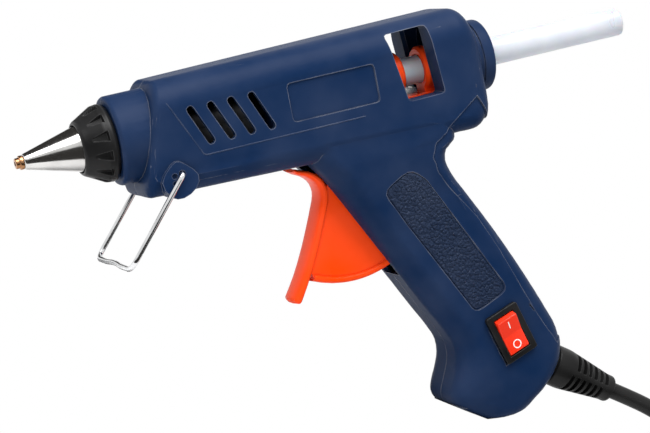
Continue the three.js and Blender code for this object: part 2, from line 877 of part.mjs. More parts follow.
function bodySkin(inset) {
  const isFine = inset < WALL;
  const noseAngles = isFine ? NOSE_ANGLES : CAVITY_NOSE_ANGLES;
  const nose = noseAngles.map((degrees) => {
    const angle = degrees * DEGREE;
    const draw = 1 - Math.cos(angle);
    const x = BODY_FRONT + inset + BODY_NOSE_ROUND * (1 - Math.sin(angle));
    return bodyRing(x, BODY_NOSE_ROUND * draw, BODY_CHIN_ROUND * draw, BODY_NOSE_ROUND * draw, inset);
  });
  const middle = rakeShares.map((share) =>
    bodyRing(BODY_FRONT + inset + BODY_NOSE_ROUND + BODY_RAKE_LENGTH * share, 0, 0, 0, inset),
  );
  const tailAngles = isFine ? TAIL_ANGLES : CAVITY_TAIL_ANGLES;
  const tail = tailAngles.map((degrees) => {
    const angle = degrees * DEGREE;
    const draw = 1 - Math.cos(angle);
    const x = BODY_REAR - inset - BODY_TAIL_ROUND * (1 - Math.sin(angle));
    const drops = [BODY_TAIL_TOP_DROP, BODY_TAIL_BOTTOM_RISE, BODY_TAIL_SIDE_DRAW];
    return bodyRing(x, ...drops.map((drop) => drop * draw), inset);
  });
  return loft([...nose, ...middle, ...tail]);
}

// The flat that the butt stands on: its two ends, parallel to the table once the gun leans back.
function landEnds() {
  const front = onHandle(landShares);
  const back = [
    front[0] + LAND_LENGTH * Math.cos(REST_ANGLE),
    front[1] - LAND_LENGTH * Math.sin(REST_ANGLE),
  ];
  return [front, back];
}

function handleSkin(inset, isCavity) {
  const rows = isCavity ? handleShares.filter((_, i) => cavityRows.includes(i)) : handleShares;
  const rings = rows.map(([frontAlong, frontAcross, backAlong, backAcross, widthShare]) => {
    const from = flat(onHandle([frontAlong, frontAcross]));
    const to = flat(onHandle([backAlong, backAcross]));
    const halfWidth = widthShare * BODY_HALF_WIDTH;
    return section(from, to, halfWidth, HANDLE_FRONT_CORNER, HANDLE_BACK_CORNER, inset);
  });
  if (!isCavity) {
    const [from, to] = landEnds().map(flat);
    rings.push(section(from, to, LAND_HALF_WIDTH, LAND_CORNER, LAND_CORNER, inset));
  }
  return loft(rings);
}

// What lies outside the flank that falls away below the barrel's long crease, on one side.
function flankCut(side) {
  const stations = [BODY_FRONT - BODY_DEPTH_FRONT, FLANK_FADE_START, FLANK_FADE_END];
  const rings = stations.map((x, i) => {
    const fall = i < 2 ? BODY_DEPTH_REAR * Math.tan(FLANK_DRAFT) : 0;
    const inner = BODY_HALF_WIDTH + (i < 2 ? 0 : HALF_GAP);
    const points = [
      [inner, -FLANK_CREASE_DEPTH],
      [inner - fall, -FLANK_CREASE_DEPTH - BODY_DEPTH_REAR],
      [BODY_HALF_WIDTH + OVERRUN, -FLANK_CREASE_DEPTH - BODY_DEPTH_REAR],
      [BODY_HALF_WIDTH + OVERRUN, -FLANK_CREASE_DEPTH],
    ];
    return points.map(([y, z]) => new THREE.Vector3(x, side * y, z));
  });
  return loft(rings);
}

// What lies outside the handle's root below the slanting crease, on one side.
function creaseCut(side, inset) {
  const along = new THREE.Vector3(Math.cos(CREASE_TILT), 0, Math.sin(CREASE_TILT));
  const down = new THREE.Vector3(Math.sin(CREASE_TILT), 0, -Math.cos(CREASE_TILT));
  const outer = BODY_HALF_WIDTH + OVERRUN;
  const rings = creaseShares.map((share) => {
    const strength = THREE.MathUtils.clamp(creaseShares.at(-1) - share, 0, 1);
    const inner = BODY_HALF_WIDTH - inset + (strength > 0 ? 0 : HALF_GAP);
    const points = [
      [0, inner],
      [CREASE_RUN, inner - CREASE_FALL * strength],
      [CREASE_REACH, inner - CREASE_FALL * strength],
      [CREASE_REACH, outer],
      [0, outer],
    ];
    return points.map(([d, y]) => {
      const point = flat([CREASE_X, CREASE_Z]).addScaledVector(along, share * CREASE_LENGTH);
      return point.addScaledVector(down, d).setY(side * y);
    });
  });
  return loft(rings);
}

// The whole moulded form, drawn in by an inset.
function skin(inset, isCavity = false) {
  const form = union(bodySkin(inset), handleSkin(inset, isCavity));
  return cut(form, creaseCut(1, inset), creaseCut(-1, inset));
}

function snout() {
  const rear = SNOUT_FRONT + SNOUT_LENGTH;
  const edge = BODY_NOSE_ROUND / 2;
  const profile = [
    [SNOUT_FRONT, 0],
    [SNOUT_FRONT, SNOUT_RADIUS - edge],
    [SNOUT_FRONT + edge / 3, SNOUT_RADIUS - edge / 3],
    [SNOUT_FRONT + edge, SNOUT_RADIUS],
    [rear, SNOUT_RADIUS],
    [rear, 0],
  ];
  return turned(profile, SNOUT_SIDES);
}

// Outlines on the housing

function windowOutline() {
  return windowShares.map(([x, z]) => [WINDOW_X + x * WINDOW_LENGTH, WINDOW_Z + z * WINDOW_HEIGHT]);
}

function labelOutline() {
  const rear = LABEL_FRONT + LABEL_LENGTH;
  const bottom = LABEL_TOP - LABEL_HEIGHT;
  return [
    [LABEL_FRONT, bottom],
    [rear, bottom],
    [rear, LABEL_TOP],
    [LABEL_FRONT, LABEL_TOP],
  ];
}

function ventOutline(i) {
  const [c, s] = [Math.cos(VENT_TILT), Math.sin(VENT_TILT)];
  const corners = [
    [-VENT_LENGTH, -VENT_WIDTH],
    [VENT_LENGTH, -VENT_WIDTH],
    [VENT_LENGTH, VENT_WIDTH],
    [-VENT_LENGTH, VENT_WIDTH],
  ];
  const x = VENT_X + i * VENT_PITCH;
  return corners.map(([u, v]) => [x + (u * c - v * s) / 2, VENT_Z + (u * s + v * c) / 2]);
}

function padOutline(shares) {
  return shares.map(([forward, down]) => [STAND_X - forward * PAD_LENGTH, STAND_Z - down * PAD_LENGTH]);
}

function slotOutline() {
  const [endX, endZ] = onHandle([slotEndShare, 0]);
  return [
    [SLOT_FRONT, -SLOT_TOP_DEPTH],
    [SLOT_FRONT, PIVOT_Z - TRIGGER_HUB],
    [endX - HANDLE_FRONT_CORNER, endZ],
    [endX + HANDLE_FRONT_CORNER, endZ],
    [PIVOT_X + RIM_RADIUS, -SLOT_TOP_DEPTH],
  ];
}

// Places of the six housing screws.
function screwPlaces() {
  return [
    [FRONT_SCREW_X, bodyTop(FRONT_SCREW_X) - TOP_SCREW_DROP],
    [MIDDLE_SCREW_X, bodyTop(MIDDLE_SCREW_X) - TOP_SCREW_DROP],
    [REAR_SCREW_X, -REAR_SCREW_DEPTH],
    [UNDER_SCREW_X, bodyBottom(UNDER_SCREW_X) + UNDER_SCREW_RISE],
    onHandle(gripScrewShares),
    onHandle(buttScrewShares),
  ];
}

// What stands inside the housing

function ribAt(x, notch) {
  const plate = box(x, x + RIB, -BEYOND, BEYOND, -BEYOND, BEYOND);
  return cut(plate, notch);
}

function chamberRibs() {
  const boss = CHAMBER_BOSS_RADIUS + GAP;
  const barrel = CHAMBER_RADIUS + GAP;
  const hole = (x, radius) => rodX(x - RIB, x + 2 * RIB, radius, BORE_SIDES);
  return union(
    ribAt(FRONT_RIB_X, hole(FRONT_RIB_X, boss)),
    ribAt(MIDDLE_RIB_X, hole(MIDDLE_RIB_X, barrel)),
    ribAt(CHAMBER_RIB_X, union(hole(CHAMBER_RIB_X, barrel), leadWindow())),
  );
}

// The gap in the chamber's rear rib where the leads come up to the heater.
function leadWindow() {
  const wide = LEAD_OFFSET + 2 * LEAD_RADIUS;
  const [front, rear] = [CHAMBER_RIB_X - RIB, CHAMBER_RIB_X + 2 * RIB];
  return box(front, rear, -wide, wide, -HEATER_BOTTOM - RIB, -CHAMBER_RADIUS);
}

// A rib that guides the stick and stops short of the feed slide below it.
function stickRib(x, radius) {
  const foot = box(x - RIB, x + 2 * RIB, -BEYOND, BEYOND, -BEYOND, -RIB_FOOT_DEPTH);
  return ribAt(x, union(rodX(x - RIB, x + 2 * RIB, radius, BORE_SIDES), foot));
}

function windowReveals() {
  const opening = windowOutline();
  const frame = grown(opening, WALL);
  const inner = BODY_HALF_WIDTH - WALL - WINDOW_REVEAL;
  const sides = [1, -1].map((side) => {
    const [y1, y2] = [side * inner, side * BODY_HALF_WIDTH].sort((a, b) => a - b);
    return prism(frame, y1, y2);
  });
  return union(...sides);
}

// Rails above and below the feed slide, out to both walls.
function slideRails() {
  const bottom = -(SLIDE_TOP + SLIDE_THICKNESS + GAP);
  const top = GAP - SLIDE_TOP;
  const rails = [1, -1].flatMap((side) => {
    const [y1, y2] = [side * RAIL_INNER, side * BODY_HALF_WIDTH].sort((a, b) => a - b);
    const [y3, y4] = [side * UPPER_RAIL_INNER, side * BODY_HALF_WIDTH].sort((a, b) => a - b);
    return [
      box(RAIL_X, RAIL_X + RAIL_LENGTH, y1, y2, bottom - RAIL_THICKNESS, bottom),
      box(UPPER_RAIL_X, UPPER_RAIL_X + UPPER_RAIL_LENGTH, y3, y4, top, top + RAIL_THICKNESS),
    ];
  });
  return union(...rails);
}

function springPost() {
  const bottom = -(SLIDE_TOP + SLIDE_THICKNESS + GAP);
  const wide = BODY_HALF_WIDTH;
  return box(SPRING_POST_X, SPRING_POST_X + SPRING_POST_THICKNESS, -wide, wide, -BODY_DEPTH_REAR, bottom);
}

function screwPosts() {
  const wide = BODY_HALF_WIDTH;
  return union(...screwPlaces().map(([x, z]) => rodY(x, z, POST_RADIUS, -wide, wide, POST_SIDES)));
}

function pivotBosses() {
  const inner = TRIGGER_HALF_WIDTH + GAP;
  return union(
    rodY(PIVOT_X, PIVOT_Z, PIVOT_BOSS_RADIUS, inner, BODY_HALF_WIDTH, PIN_SIDES),
    rodY(PIVOT_X, PIVOT_Z, PIVOT_BOSS_RADIUS, -BODY_HALF_WIDTH, -inner, PIN_SIDES),
  );
}

function standBosses() {
  const inner = PAD_FACE - STAND_SOCKET;
  return union(
    rodY(STAND_X, STAND_Z, PAD_BOSS_RADIUS, inner, PAD_FACE, PIN_SIDES),
    rodY(STAND_X, STAND_Z, PAD_BOSS_RADIUS, -PAD_FACE, -inner, PIN_SIDES),
  );
}

// The strain relief's own frame: X out of the butt along the cord.
function reliefGroup() {
  const group = new THREE.Group();
  group.position.set(RELIEF_X, 0, RELIEF_Z);
  group.rotation.y = RELIEF_ANGLE;
  group.updateMatrix();
  return group;
}

// A solid of the strain relief's frame, in the gun's frame.
function fromRelief(made) {
  return solid(geometryOf(made).applyMatrix4(reliefGroup().matrix));
}

function reliefSeat() {
  return fromRelief(rodX(-RELIEF_NECK_LENGTH, OVERRUN, RELIEF_FLANGE + WALL, BORE_SIDES));
}

// The two feet of the cord clamp, in the gun's frame.
function clampPlaces() {
  return [1, -1].map((side) => {
    const place = new THREE.Vector3(-CLAMP_BACK, 0, side * CLAMP_SPAN);
    place.applyMatrix4(reliefGroup().matrix);
    return [place.x, place.z];
  });
}

function clampPosts() {
  return union(
    ...clampPlaces().map(([x, z]) => rodY(x, z, CLAMP_FOOT_RADIUS, -BODY_HALF_WIDTH, 0, POST_SIDES)),
  );
}

// Everything that stays solid inside the hollow of the housing.
function insides() {
  const guide = STICK_RADIUS + GAP * 2;
  return union(
    chamberRibs(),
    stickRib(SLEEVE_RIB_X, SLEEVE_TAIL_RADIUS + GAP),
    stickRib(GUIDE_RIB_X, guide),
    stickRib(REAR_RIB_X, guide),
    windowReveals(),
    slideRails(),
    springPost(),
    screwPosts(),
    pivotBosses(),
    standBosses(),
    reliefSeat(),
    clampPosts(),
  );
}

// Everything that is cut through the finished shell.
function shellCuts() {
  const out = BODY_HALF_WIDTH + OVERRUN;
  const [pinReach, pinHole] = [PIVOT_PIN_REACH + GAP, PIVOT_PIN_RADIUS + GAP];
  const vents = Array.from({ length: VENT_COUNT }, (_, i) =>
    prism(ventOutline(i), -out, out, VENT_WIDTH * ventRoundShare),
  );
  const inVents = vents.map((vent) => cut(vent, box(0, BODY_REAR, -VENT_CORE, VENT_CORE, -out, out)));
  return [
    prism(windowOutline(), -out, out, WINDOW_CORNER),
    ...inVents,
    prism(slotOutline(), -SLOT_HALF_WIDTH, SLOT_HALF_WIDTH),
    rodX(SNOUT_FRONT - OVERRUN, SNOUT_FRONT + SNOUT_LIP + GAP, SNOUT_BORE, RING_SIDES),
    rodX(REAR_RIB_X + RIB, BODY_REAR + OVERRUN, GUIDE_NECK_RADIUS + GAP, GUIDE_SIDES),
    rodY(PIVOT_X, PIVOT_Z, pinHole, -pinReach, pinReach, PIN_SIDES),
    rodY(STAND_X, STAND_Z, WIRE_RADIUS + GAP, -out, out, FEW_SIDES),
    fromRelief(rodX(-RELIEF_NECK_LENGTH - OVERRUN, RELIEF_LENGTH, RELIEF_NECK + GAP, BORE_SIDES)),
    switchOpening(),
    ...keyholes(),
    ...screwHoles(),
    ...clampHoles(),
  ];
}

// Shallow notches beside the stand's hinge, where the wire clicks in.
function keyholes() {
  return padOutline(keyholeShares).flatMap(([x, z]) =>
    [1, -1].map((side) => {
      const ends = [side * (PAD_FACE - KEYHOLE_DEPTH), side * (PAD_FACE + OVERRUN)];
      return rodY(x, z, KEYHOLE_WIDTH / 2, Math.min(...ends), Math.max(...ends), FEW_SIDES);
    }),
  );
}

function screwHoles() {
  const seat = SCREW_HEAD_SEAT;
  return screwPlaces().map(([x, z]) =>
    union(
      rodY(x, z, SCREW_RADIUS + GAP, seat - SCREW_LENGTH - GAP, seat + GAP, SCREW_SIDES),
      rodY(x, z, SCREW_HEAD_RADIUS + GAP, seat, BODY_HALF_WIDTH + OVERRUN, PIN_SIDES),
    ),
  );
}

function clampHoles() {
  const deep = HALF_GAP - CLAMP_SCREW_LENGTH;
  return clampPlaces().map(([x, z]) => rodY(x, z, CLAMP_SCREW_RADIUS + GAP, deep, 0, POST_SIDES));
}

// The switch's own frame: X along the rocker, down the handle, and Y into the handle.
function switchGroup() {
  const [x, z] = onHandle(switchShares);
  const group = new THREE.Group();
  group.position.set(x, -SWITCH_SEAT, z);
  group.rotation.y = SWITCH_TILT;
  group.updateMatrix();
  return group;
}

function switchOpening() {
  const [length, width] = [SWITCH_LENGTH / 2 + GAP, SWITCH_WIDTH / 2 + GAP];
  const opening = box(-length, length, -OVERRUN, OVERRUN * 2, -width, width);
  const [seat, side] = [BEZEL_LENGTH / 2 + GAP, BEZEL_WIDTH / 2 + GAP];
  const recess = box(-seat, seat, -OVERRUN, GAP, -side, side);
  return solid(geometryOf(union(opening, recess)).applyMatrix4(switchGroup().matrix));
}

// The moulded outside with its sunk panels, pads and snout.
function outside() {
  const plain = cut(skin(0), flankCut(1), flankCut(-1));
  const out = BODY_HALF_WIDTH + OVERRUN;
  const sunk = skin(PANEL_DEPTH);
  const panels = [
    prism(labelOutline(), -out, out, PANEL_CORNER),
    prism(gripShares.map(onHandle), -out, out, GRIP_CORNER, 3),
    prism(backstrapShares.map(onHandle), -out, out),
  ];
  const recesses = panels.map((panel) => panel.subtract(sunk));
  const pads = prism(padOutline(padShares), -PAD_FACE, PAD_FACE, PAD_CORNER);
  return union(cut(plain, ...recesses), pads, snout());
}

function hollow() {
  const groove = rodX(SNOUT_FRONT + SNOUT_LIP, MIDDLE_RIB_X + RIB, SNOUT_GROOVE, RING_SIDES);
  const guideSeat = rodX(REAR_RIB_X + RIB, BODY_REAR - WALL, GUIDE_COLLAR_RADIUS + GAP, DRUM_SIDES);
  return union(skin(WALL, true), groove, guideSeat).subtract(insides());
}

function housing() {
  return cut(outside(), hollow(), ...shellCuts());
}

// Nozzle pieces

function nozzleTip() {
  const rimFront = CONE_FRONT - GAP - TIP_RIM_LENGTH;
  const shank = CONE_BORE - GAP;
  const chamfer = TIP_RADIUS * tipChamferShare;
  const profile = [
    [TIP_FRONT, TIP_BORE],
    [TIP_FRONT, TIP_RADIUS - chamfer],
    [TIP_FRONT + chamfer, TIP_RADIUS],
    [rimFront, TIP_RADIUS],
    [rimFront, TIP_RIM_RADIUS],
    [CONE_FRONT - GAP, TIP_RIM_RADIUS],
    [CONE_FRONT - GAP, shank],
    [TIP_REAR, shank],
    [TIP_REAR, TIP_BORE],
    [TIP_FRONT, TIP_BORE],
  ];
  return turned(profile, TIP_SIDES);
}

function nozzleCone() {
  const hex = CONE_REAR + CONE_SKIRT;
  const profile = [
    [CONE_FRONT, CONE_BORE],
    [CONE_FRONT, CONE_FRONT_RADIUS],
    [CONE_REAR, CONE_RADIUS],
    [hex, CONE_RADIUS],
    [hex, THREAD_RADIUS],
    [NECK_REAR, THREAD_RADIUS],
    [NECK_REAR, CONE_BORE],
    [CONE_FRONT, CONE_BORE],
  ];
  return turned(profile, CONE_SIDES);
}

// The ball rests on the edge of the tip's bore.
function ballPlace() {
  return TIP_REAR + Math.sqrt(BALL_RADIUS ** 2 - TIP_BORE ** 2) + HALF_GAP;
}

function checkBall() {
  const geometry = new THREE.SphereGeometry(BALL_RADIUS, HEAD_SIDES, FEW_SIDES);
  geometry.translate(ballPlace(), 0, 0);
  return solid(geometry);
}

function checkSpring() {
  const x = ballPlace() + BALL_RADIUS + HALF_GAP;
  const sizes = [CHECK_SPRING_RADIUS, CHECK_SPRING_WIRE, CHECK_SPRING_CURLS];
  return helix("check_spring", x, x + CHECK_SPRING_LENGTH, new THREE.Vector3(), ...sizes);
}

function nozzleCollar() {
  const rear = COLLAR_FRONT + COLLAR_LENGTH;
  const lip = COLLAR_FRONT + COLLAR_LIP;
  const flange = SNOUT_FRONT + SNOUT_LIP + GAP;
  const shank = SNOUT_BORE - GAP;
  const bore = CONE_RADIUS + GAP;
  const edge = COLLAR_LIP / 2;
  const profile = [
    [COLLAR_FRONT, bore],
    [COLLAR_FRONT, COLLAR_FRONT_RADIUS - edge],
    [COLLAR_FRONT + edge, COLLAR_FRONT_RADIUS],
    [lip + edge, COLLAR_FRONT_RADIUS + edge],
    [rear - 3 * COLLAR_LIP, COLLAR_RADIUS - edge / 2],
    [rear - COLLAR_LIP, COLLAR_RADIUS],
    [rear, COLLAR_RADIUS - edge],
    [rear, shank],
    [flange, shank],
    [flange, COLLAR_FLANGE],
    [flange + COLLAR_FLANGE_LENGTH, COLLAR_FLANGE],
    [flange + COLLAR_FLANGE_LENGTH, bore],
    [COLLAR_FRONT, bore],
  ];
  const recesses = Array.from({ length: COLLAR_RECESSES }, (_, i) => collarRecess(i));
  return cut(turned(profile, RING_SIDES), ...recesses);
}

// A wedge-shaped finger recess, wide at its rear end.
function collarRecess(i) {
  const front = COLLAR_FRONT + 2 * COLLAR_LIP;
  const rear = COLLAR_FRONT + COLLAR_LENGTH - 2 * COLLAR_LIP;
  const floorFront = mix(COLLAR_FRONT_RADIUS, COLLAR_RADIUS, recessFloorShare);
  const floorRear = COLLAR_RADIUS - COLLAR_RECESS_DEPTH;
  const high = COLLAR_RADIUS + OVERRUN;
  const half = (COLLAR_RADIUS * Math.PI) / COLLAR_RECESSES / 2;
  const ends = [
    [front, half * recessFrontShare, floorFront],
    [rear, half, floorRear],
  ];
  const rings = ends.map(([x, w, z]) =>
    [[-w, z], [w, z], [w, high], [-w, high]].map(([y, up]) => new THREE.Vector3(x, y, up)),
  );
  const geometry = geometryOf(loft(rings));
  geometry.rotateX(((i + 1 / 2) / COLLAR_RECESSES) * 2 * Math.PI);
  return solid(geometry);
}

// Heating pieces

function meltChamber() {
  const flangeRear = CHAMBER_FLANGE_X + CHAMBER_FLANGE_LENGTH;
  const threadRear = NECK_REAR + GAP;
  const thread = THREAD_RADIUS + GAP;
  const profile = [
    [CHAMBER_FRONT, thread],
    [CHAMBER_FRONT, CHAMBER_BOSS_RADIUS],
    [CHAMBER_FLANGE_X, CHAMBER_BOSS_RADIUS],
    [CHAMBER_FLANGE_X, CHAMBER_FLANGE_RADIUS],
    [flangeRear, CHAMBER_FLANGE_RADIUS],
    [flangeRear, CHAMBER_RADIUS],
    [CHAMBER_SPIGOT_X, CHAMBER_RADIUS],
    [CHAMBER_SPIGOT_X, CHAMBER_SPIGOT_RADIUS],
    [CHAMBER_REAR, CHAMBER_SPIGOT_RADIUS],
    [CHAMBER_REAR, CHAMBER_BORE],
    [CHAMBER_CONE_X + CHAMBER_CONE_LENGTH, CHAMBER_BORE],
    [CHAMBER_CONE_X, CHAMBER_CHANNEL],
    [threadRear, CHAMBER_CHANNEL],
    [threadRear, thread],
    [CHAMBER_FRONT, thread],
  ];
  const rear = HEATER_X + HEATER_LENGTH;
  const pad = box(HEATER_X, rear, -HEATER_HALF_WIDTH, HEATER_HALF_WIDTH, -HEATER_BOTTOM, -CHAMBER_CHANNEL);
  const [bottom, top] = ptcHeights();
  const half = PTC_HALF_WIDTH + GAP;
  const pocket = box(HEATER_X - OVERRUN, rear + OVERRUN, -half, half, bottom - GAP, top + GAP);
  const core = rodX(HEATER_X - OVERRUN, rear + OVERRUN, CHAMBER_RADIUS - WALL, DRUM_SIDES);
  return cut(union(turned(profile, DRUM_SIDES), pad.subtract(core)), pocket);
}

// Bottom and top of the heating plate in its pocket.
function ptcHeights() {
  const bottom = -HEATER_BOTTOM + HEATER_WALL + GAP;
  return [bottom, bottom + PTC_THICKNESS];
}

function heaterPlate() {
  const [bottom, top] = ptcHeights();
  const front = HEATER_X + HEATER_WALL;
  const rear = HEATER_X + HEATER_LENGTH - HEATER_WALL;
  return box(front, rear, -PTC_HALF_WIDTH, PTC_HALF_WIDTH, bottom, top);
}

// Spring clip round the heater's pocket.
function heaterClip() {
  const inner = HEATER_HALF_WIDTH + GAP;
  const bottom = -HEATER_BOTTOM - GAP;
  const outer = inner + CLIP_THICKNESS;
  const top = bottom + CLIP_HEIGHT;
  const rear = CLIP_X + CLIP_LENGTH;
  const blank = box(CLIP_X, rear, -outer, outer, bottom - CLIP_THICKNESS, top);
  return cut(blank, box(CLIP_X - OVERRUN, rear + OVERRUN, -inner, inner, bottom, top + OVERRUN));
}

function inletSleeve() {
  const socket = CHAMBER_SPIGOT_RADIUS + GAP;
  const step = CHAMBER_REAR + GAP;
  const shoulder = SLEEVE_FRONT + SLEEVE_SOCKET_LENGTH;
  const profile = [
    [SLEEVE_FRONT, socket],
    [SLEEVE_FRONT, SLEEVE_RADIUS],
    [shoulder, SLEEVE_RADIUS],
    [shoulder + SLEEVE_RADIUS - SLEEVE_TAIL_RADIUS, SLEEVE_TAIL_RADIUS],
    [SLEEVE_REAR, SLEEVE_TAIL_RADIUS],
    [SLEEVE_REAR, CHAMBER_BORE],
    [step, CHAMBER_BORE],
    [step, socket],
    [SLEEVE_FRONT, socket],
  ];
  return turned(profile, DRUM_SIDES);
}

// Band clip with two ears at its top.
function sleeveClip() {
  const inner = SLEEVE_RADIUS + GAP;
  const outer = inner + SLEEVE_CLIP_THICKNESS;
  const rear = SLEEVE_CLIP_X + SLEEVE_CLIP_LENGTH;
  const ear = SLEEVE_CLIP_EAR;
  const ears = box(SLEEVE_CLIP_X, rear, -ear / 2, ear / 2, inner + GAP, outer + ear);
  const band = union(tubeX(SLEEVE_CLIP_X, rear, outer, inner, DRUM_SIDES), ears);
  const gap = ear * earGapShare;
  return cut(band, box(SLEEVE_CLIP_X - ear, rear + ear, -gap, gap, 0, outer + 2 * ear));
}

// Feed pieces

function drivePinPlace(angle) {
  return [PIVOT_X + ARM_LENGTH * Math.sin(angle), PIVOT_Z + ARM_LENGTH * Math.cos(angle)];
}

function feedSlide() {
  const bottom = -(SLIDE_TOP + SLIDE_THICKNESS);
  const half = SLIDE_HALF_WIDTH;
  const bar = box(SLIDE_FRONT, SLIDE_REAR, -half, half, bottom, -SLIDE_TOP);
  const cheeks = box(SLIDE_FRONT, SLIDE_FRONT + CHEEK_LENGTH, -half, half, -CHEEK_DEPTH, -SLIDE_TOP);
  const lug = box(LUG_X, LUG_X + LUG_LENGTH, -LUG_HALF_WIDTH, LUG_HALF_WIDTH, -LUG_DEPTH, -SLIDE_TOP);
  const rings = [FRONT_RING_X, REAR_RING_X].map(slideRing);
  const bored = [FRONT_RING_X, REAR_RING_X].map((x) =>
    rodX(x - RIB, x + RING_THICKNESS + RIB, RING_BORE, DRUM_SIDES),
  );
  return cut(union(bar, cheeks, lug, ...rings), ...bored, armSlot(), pinSlot(), jawSlot(), jawPinHole());
}

// A ring round the stick, its rims rounded, on a neck up from the bar.
function slideRing(x) {
  const rear = x + RING_THICKNESS;
  const round = RING_THICKNESS * ringRoundShare;
  const profile = [
    [x, 0],
    [x, RING_RADIUS - round],
    [x + round, RING_RADIUS],
    [rear - round, RING_RADIUS],
    [rear, RING_RADIUS - round],
    [rear, 0],
  ];
  const half = RING_NECK_HALF_WIDTH;
  const neck = box(x, rear, -half, half, -SLIDE_TOP - SLIDE_THICKNESS, -RING_BORE);
  return union(turned(profile, DRUM_SIDES), neck);
}

function armSlot() {
  const half = ARM_SLOT_HALF_WIDTH;
  const rear = SLIDE_FRONT + CHEEK_LENGTH;
  return box(SLIDE_FRONT - OVERRUN, rear, -half, half, -CHEEK_DEPTH - OVERRUN, OVERRUN - SLIDE_TOP);
}

// The pin climbs a little in mid-stroke, so its hole is taller than it.
function pinSlot() {
  const [x, low] = drivePinPlace(ARM_ANGLE);
  const rise = ARM_LENGTH * (1 - Math.cos(ARM_ANGLE));
  const r = DRIVE_PIN_RADIUS + GAP;
  const wide = SLIDE_HALF_WIDTH + OVERRUN;
  const ends = [low, low + rise].map((z) => rodY(x, z, r, -wide, wide, PIN_SIDES));
  return union(...ends, box(x - r, x + r, -wide, wide, low, low + rise));
}

function jawSlot() {
  const half = JAW_SLOT_HALF_WIDTH;
  const [x1, x2] = [JAW_X - JAW_SLOT_LENGTH / 2, JAW_X + JAW_SLOT_LENGTH / 2];
  return box(x1, Math.min(x2, REAR_RING_X), -half, half, -CHEEK_DEPTH, 0);
}

function jawPinHole() {
  const wide = SLIDE_HALF_WIDTH + OVERRUN;
  return rodY(JAW_X, -jawPinDepth(), JAW_PIN_RADIUS + GAP / 2, -wide, wide, PIN_SIDES);
}

function jawPinDepth() {
  return SLIDE_TOP + SLIDE_THICKNESS / 2;
}

// The jaw: a hub on its pin and a toothed head just under the stick.
function gripJaw() {
  const z = -jawPinDepth();
  const head = -STICK_RADIUS - JAW_CLEARANCE;
  const hub = rodY(JAW_X, z, JAW_HUB, -JAW_HALF_WIDTH, JAW_HALF_WIDTH, PIN_SIDES);
  const front = JAW_X - JAW_TIP_REACH * jawFrontShare;
  const rear = JAW_X + JAW_HUB;
  const pitch = (rear - front) / JAW_TEETH;
  const teeth = Array.from({ length: JAW_TEETH }, (_, i) => [
    [rear - i * pitch, head - JAW_TOOTH],
    [rear - (i + toothShare) * pitch, head],
  ]).flat();
  const outline = [[front, z + JAW_HUB], [JAW_X - JAW_HUB, z], [JAW_X + JAW_HUB, z], ...teeth];
  const bore = rodY(JAW_X, z, JAW_PIN_RADIUS + GAP / 2, -OVERRUN, OVERRUN, PIN_SIDES);
  return cut(union(hub, prism(outline, -JAW_HALF_WIDTH, JAW_HALF_WIDTH)), bore);
}

function jawPin() {
  return rodY(JAW_X, -jawPinDepth(), JAW_PIN_RADIUS, -SLIDE_HALF_WIDTH, SLIDE_HALF_WIDTH, PIN_SIDES);
}

function glueStick() {
  const edge = STICK_RADIUS * stickEdgeShare;
  const profile = [
    [STICK_FRONT, 0],
    [STICK_FRONT, STICK_RADIUS - 4 * edge],
    [STICK_FRONT + 3 * edge, STICK_RADIUS - edge],
    [STICK_FRONT + 6 * edge, STICK_RADIUS],
    [STICK_REAR - edge, STICK_RADIUS],
    [STICK_REAR, STICK_RADIUS - edge],
    [STICK_REAR, 0],
  ];
  return turned(profile, RING_SIDES);
}

// Ring at the tail: a collar inside the wall, a groove, and a round-edged flange outside.
function guideRing() {
  const inner = BODY_REAR - WALL - GAP;
  const rear = GUIDE_FLANGE_X + GUIDE_FLANGE_LENGTH;
  const profile = [
    [inner - GUIDE_COLLAR_LENGTH, GUIDE_BORE],
    [inner - GUIDE_COLLAR_LENGTH, GUIDE_COLLAR_RADIUS],
    [inner, GUIDE_COLLAR_RADIUS],
    [inner, GUIDE_NECK_RADIUS],
    [BODY_REAR + GAP, GUIDE_NECK_RADIUS],
    [BODY_REAR + GAP, GUIDE_COLLAR_RADIUS],
    [GUIDE_FLANGE_X, GUIDE_COLLAR_RADIUS],
    [GUIDE_FLANGE_X, GUIDE_FLANGE_RADIUS],
    [rear - GUIDE_ROUND, GUIDE_FLANGE_RADIUS],
    [rear - GUIDE_ROUND / 4, GUIDE_FLANGE_RADIUS - GUIDE_ROUND / 3],
    [rear, GUIDE_FLANGE_RADIUS - GUIDE_ROUND],
    [rear, GUIDE_MOUTH],
    [rear - GUIDE_MOUTH + GUIDE_BORE, GUIDE_BORE],
    [inner - GUIDE_COLLAR_LENGTH, GUIDE_BORE],
  ];
  return turned(profile, RING_SIDES);
}

// Trigger, round its pivot

function leverFront() {
  const points = leverShares.map(([forward, down]) =>
    flat([PIVOT_X - forward * LEVER_LENGTH, PIVOT_Z - down * LEVER_LENGTH]),
  );
  return new THREE.CatmullRomCurve3(points, false, "catmullrom");
}

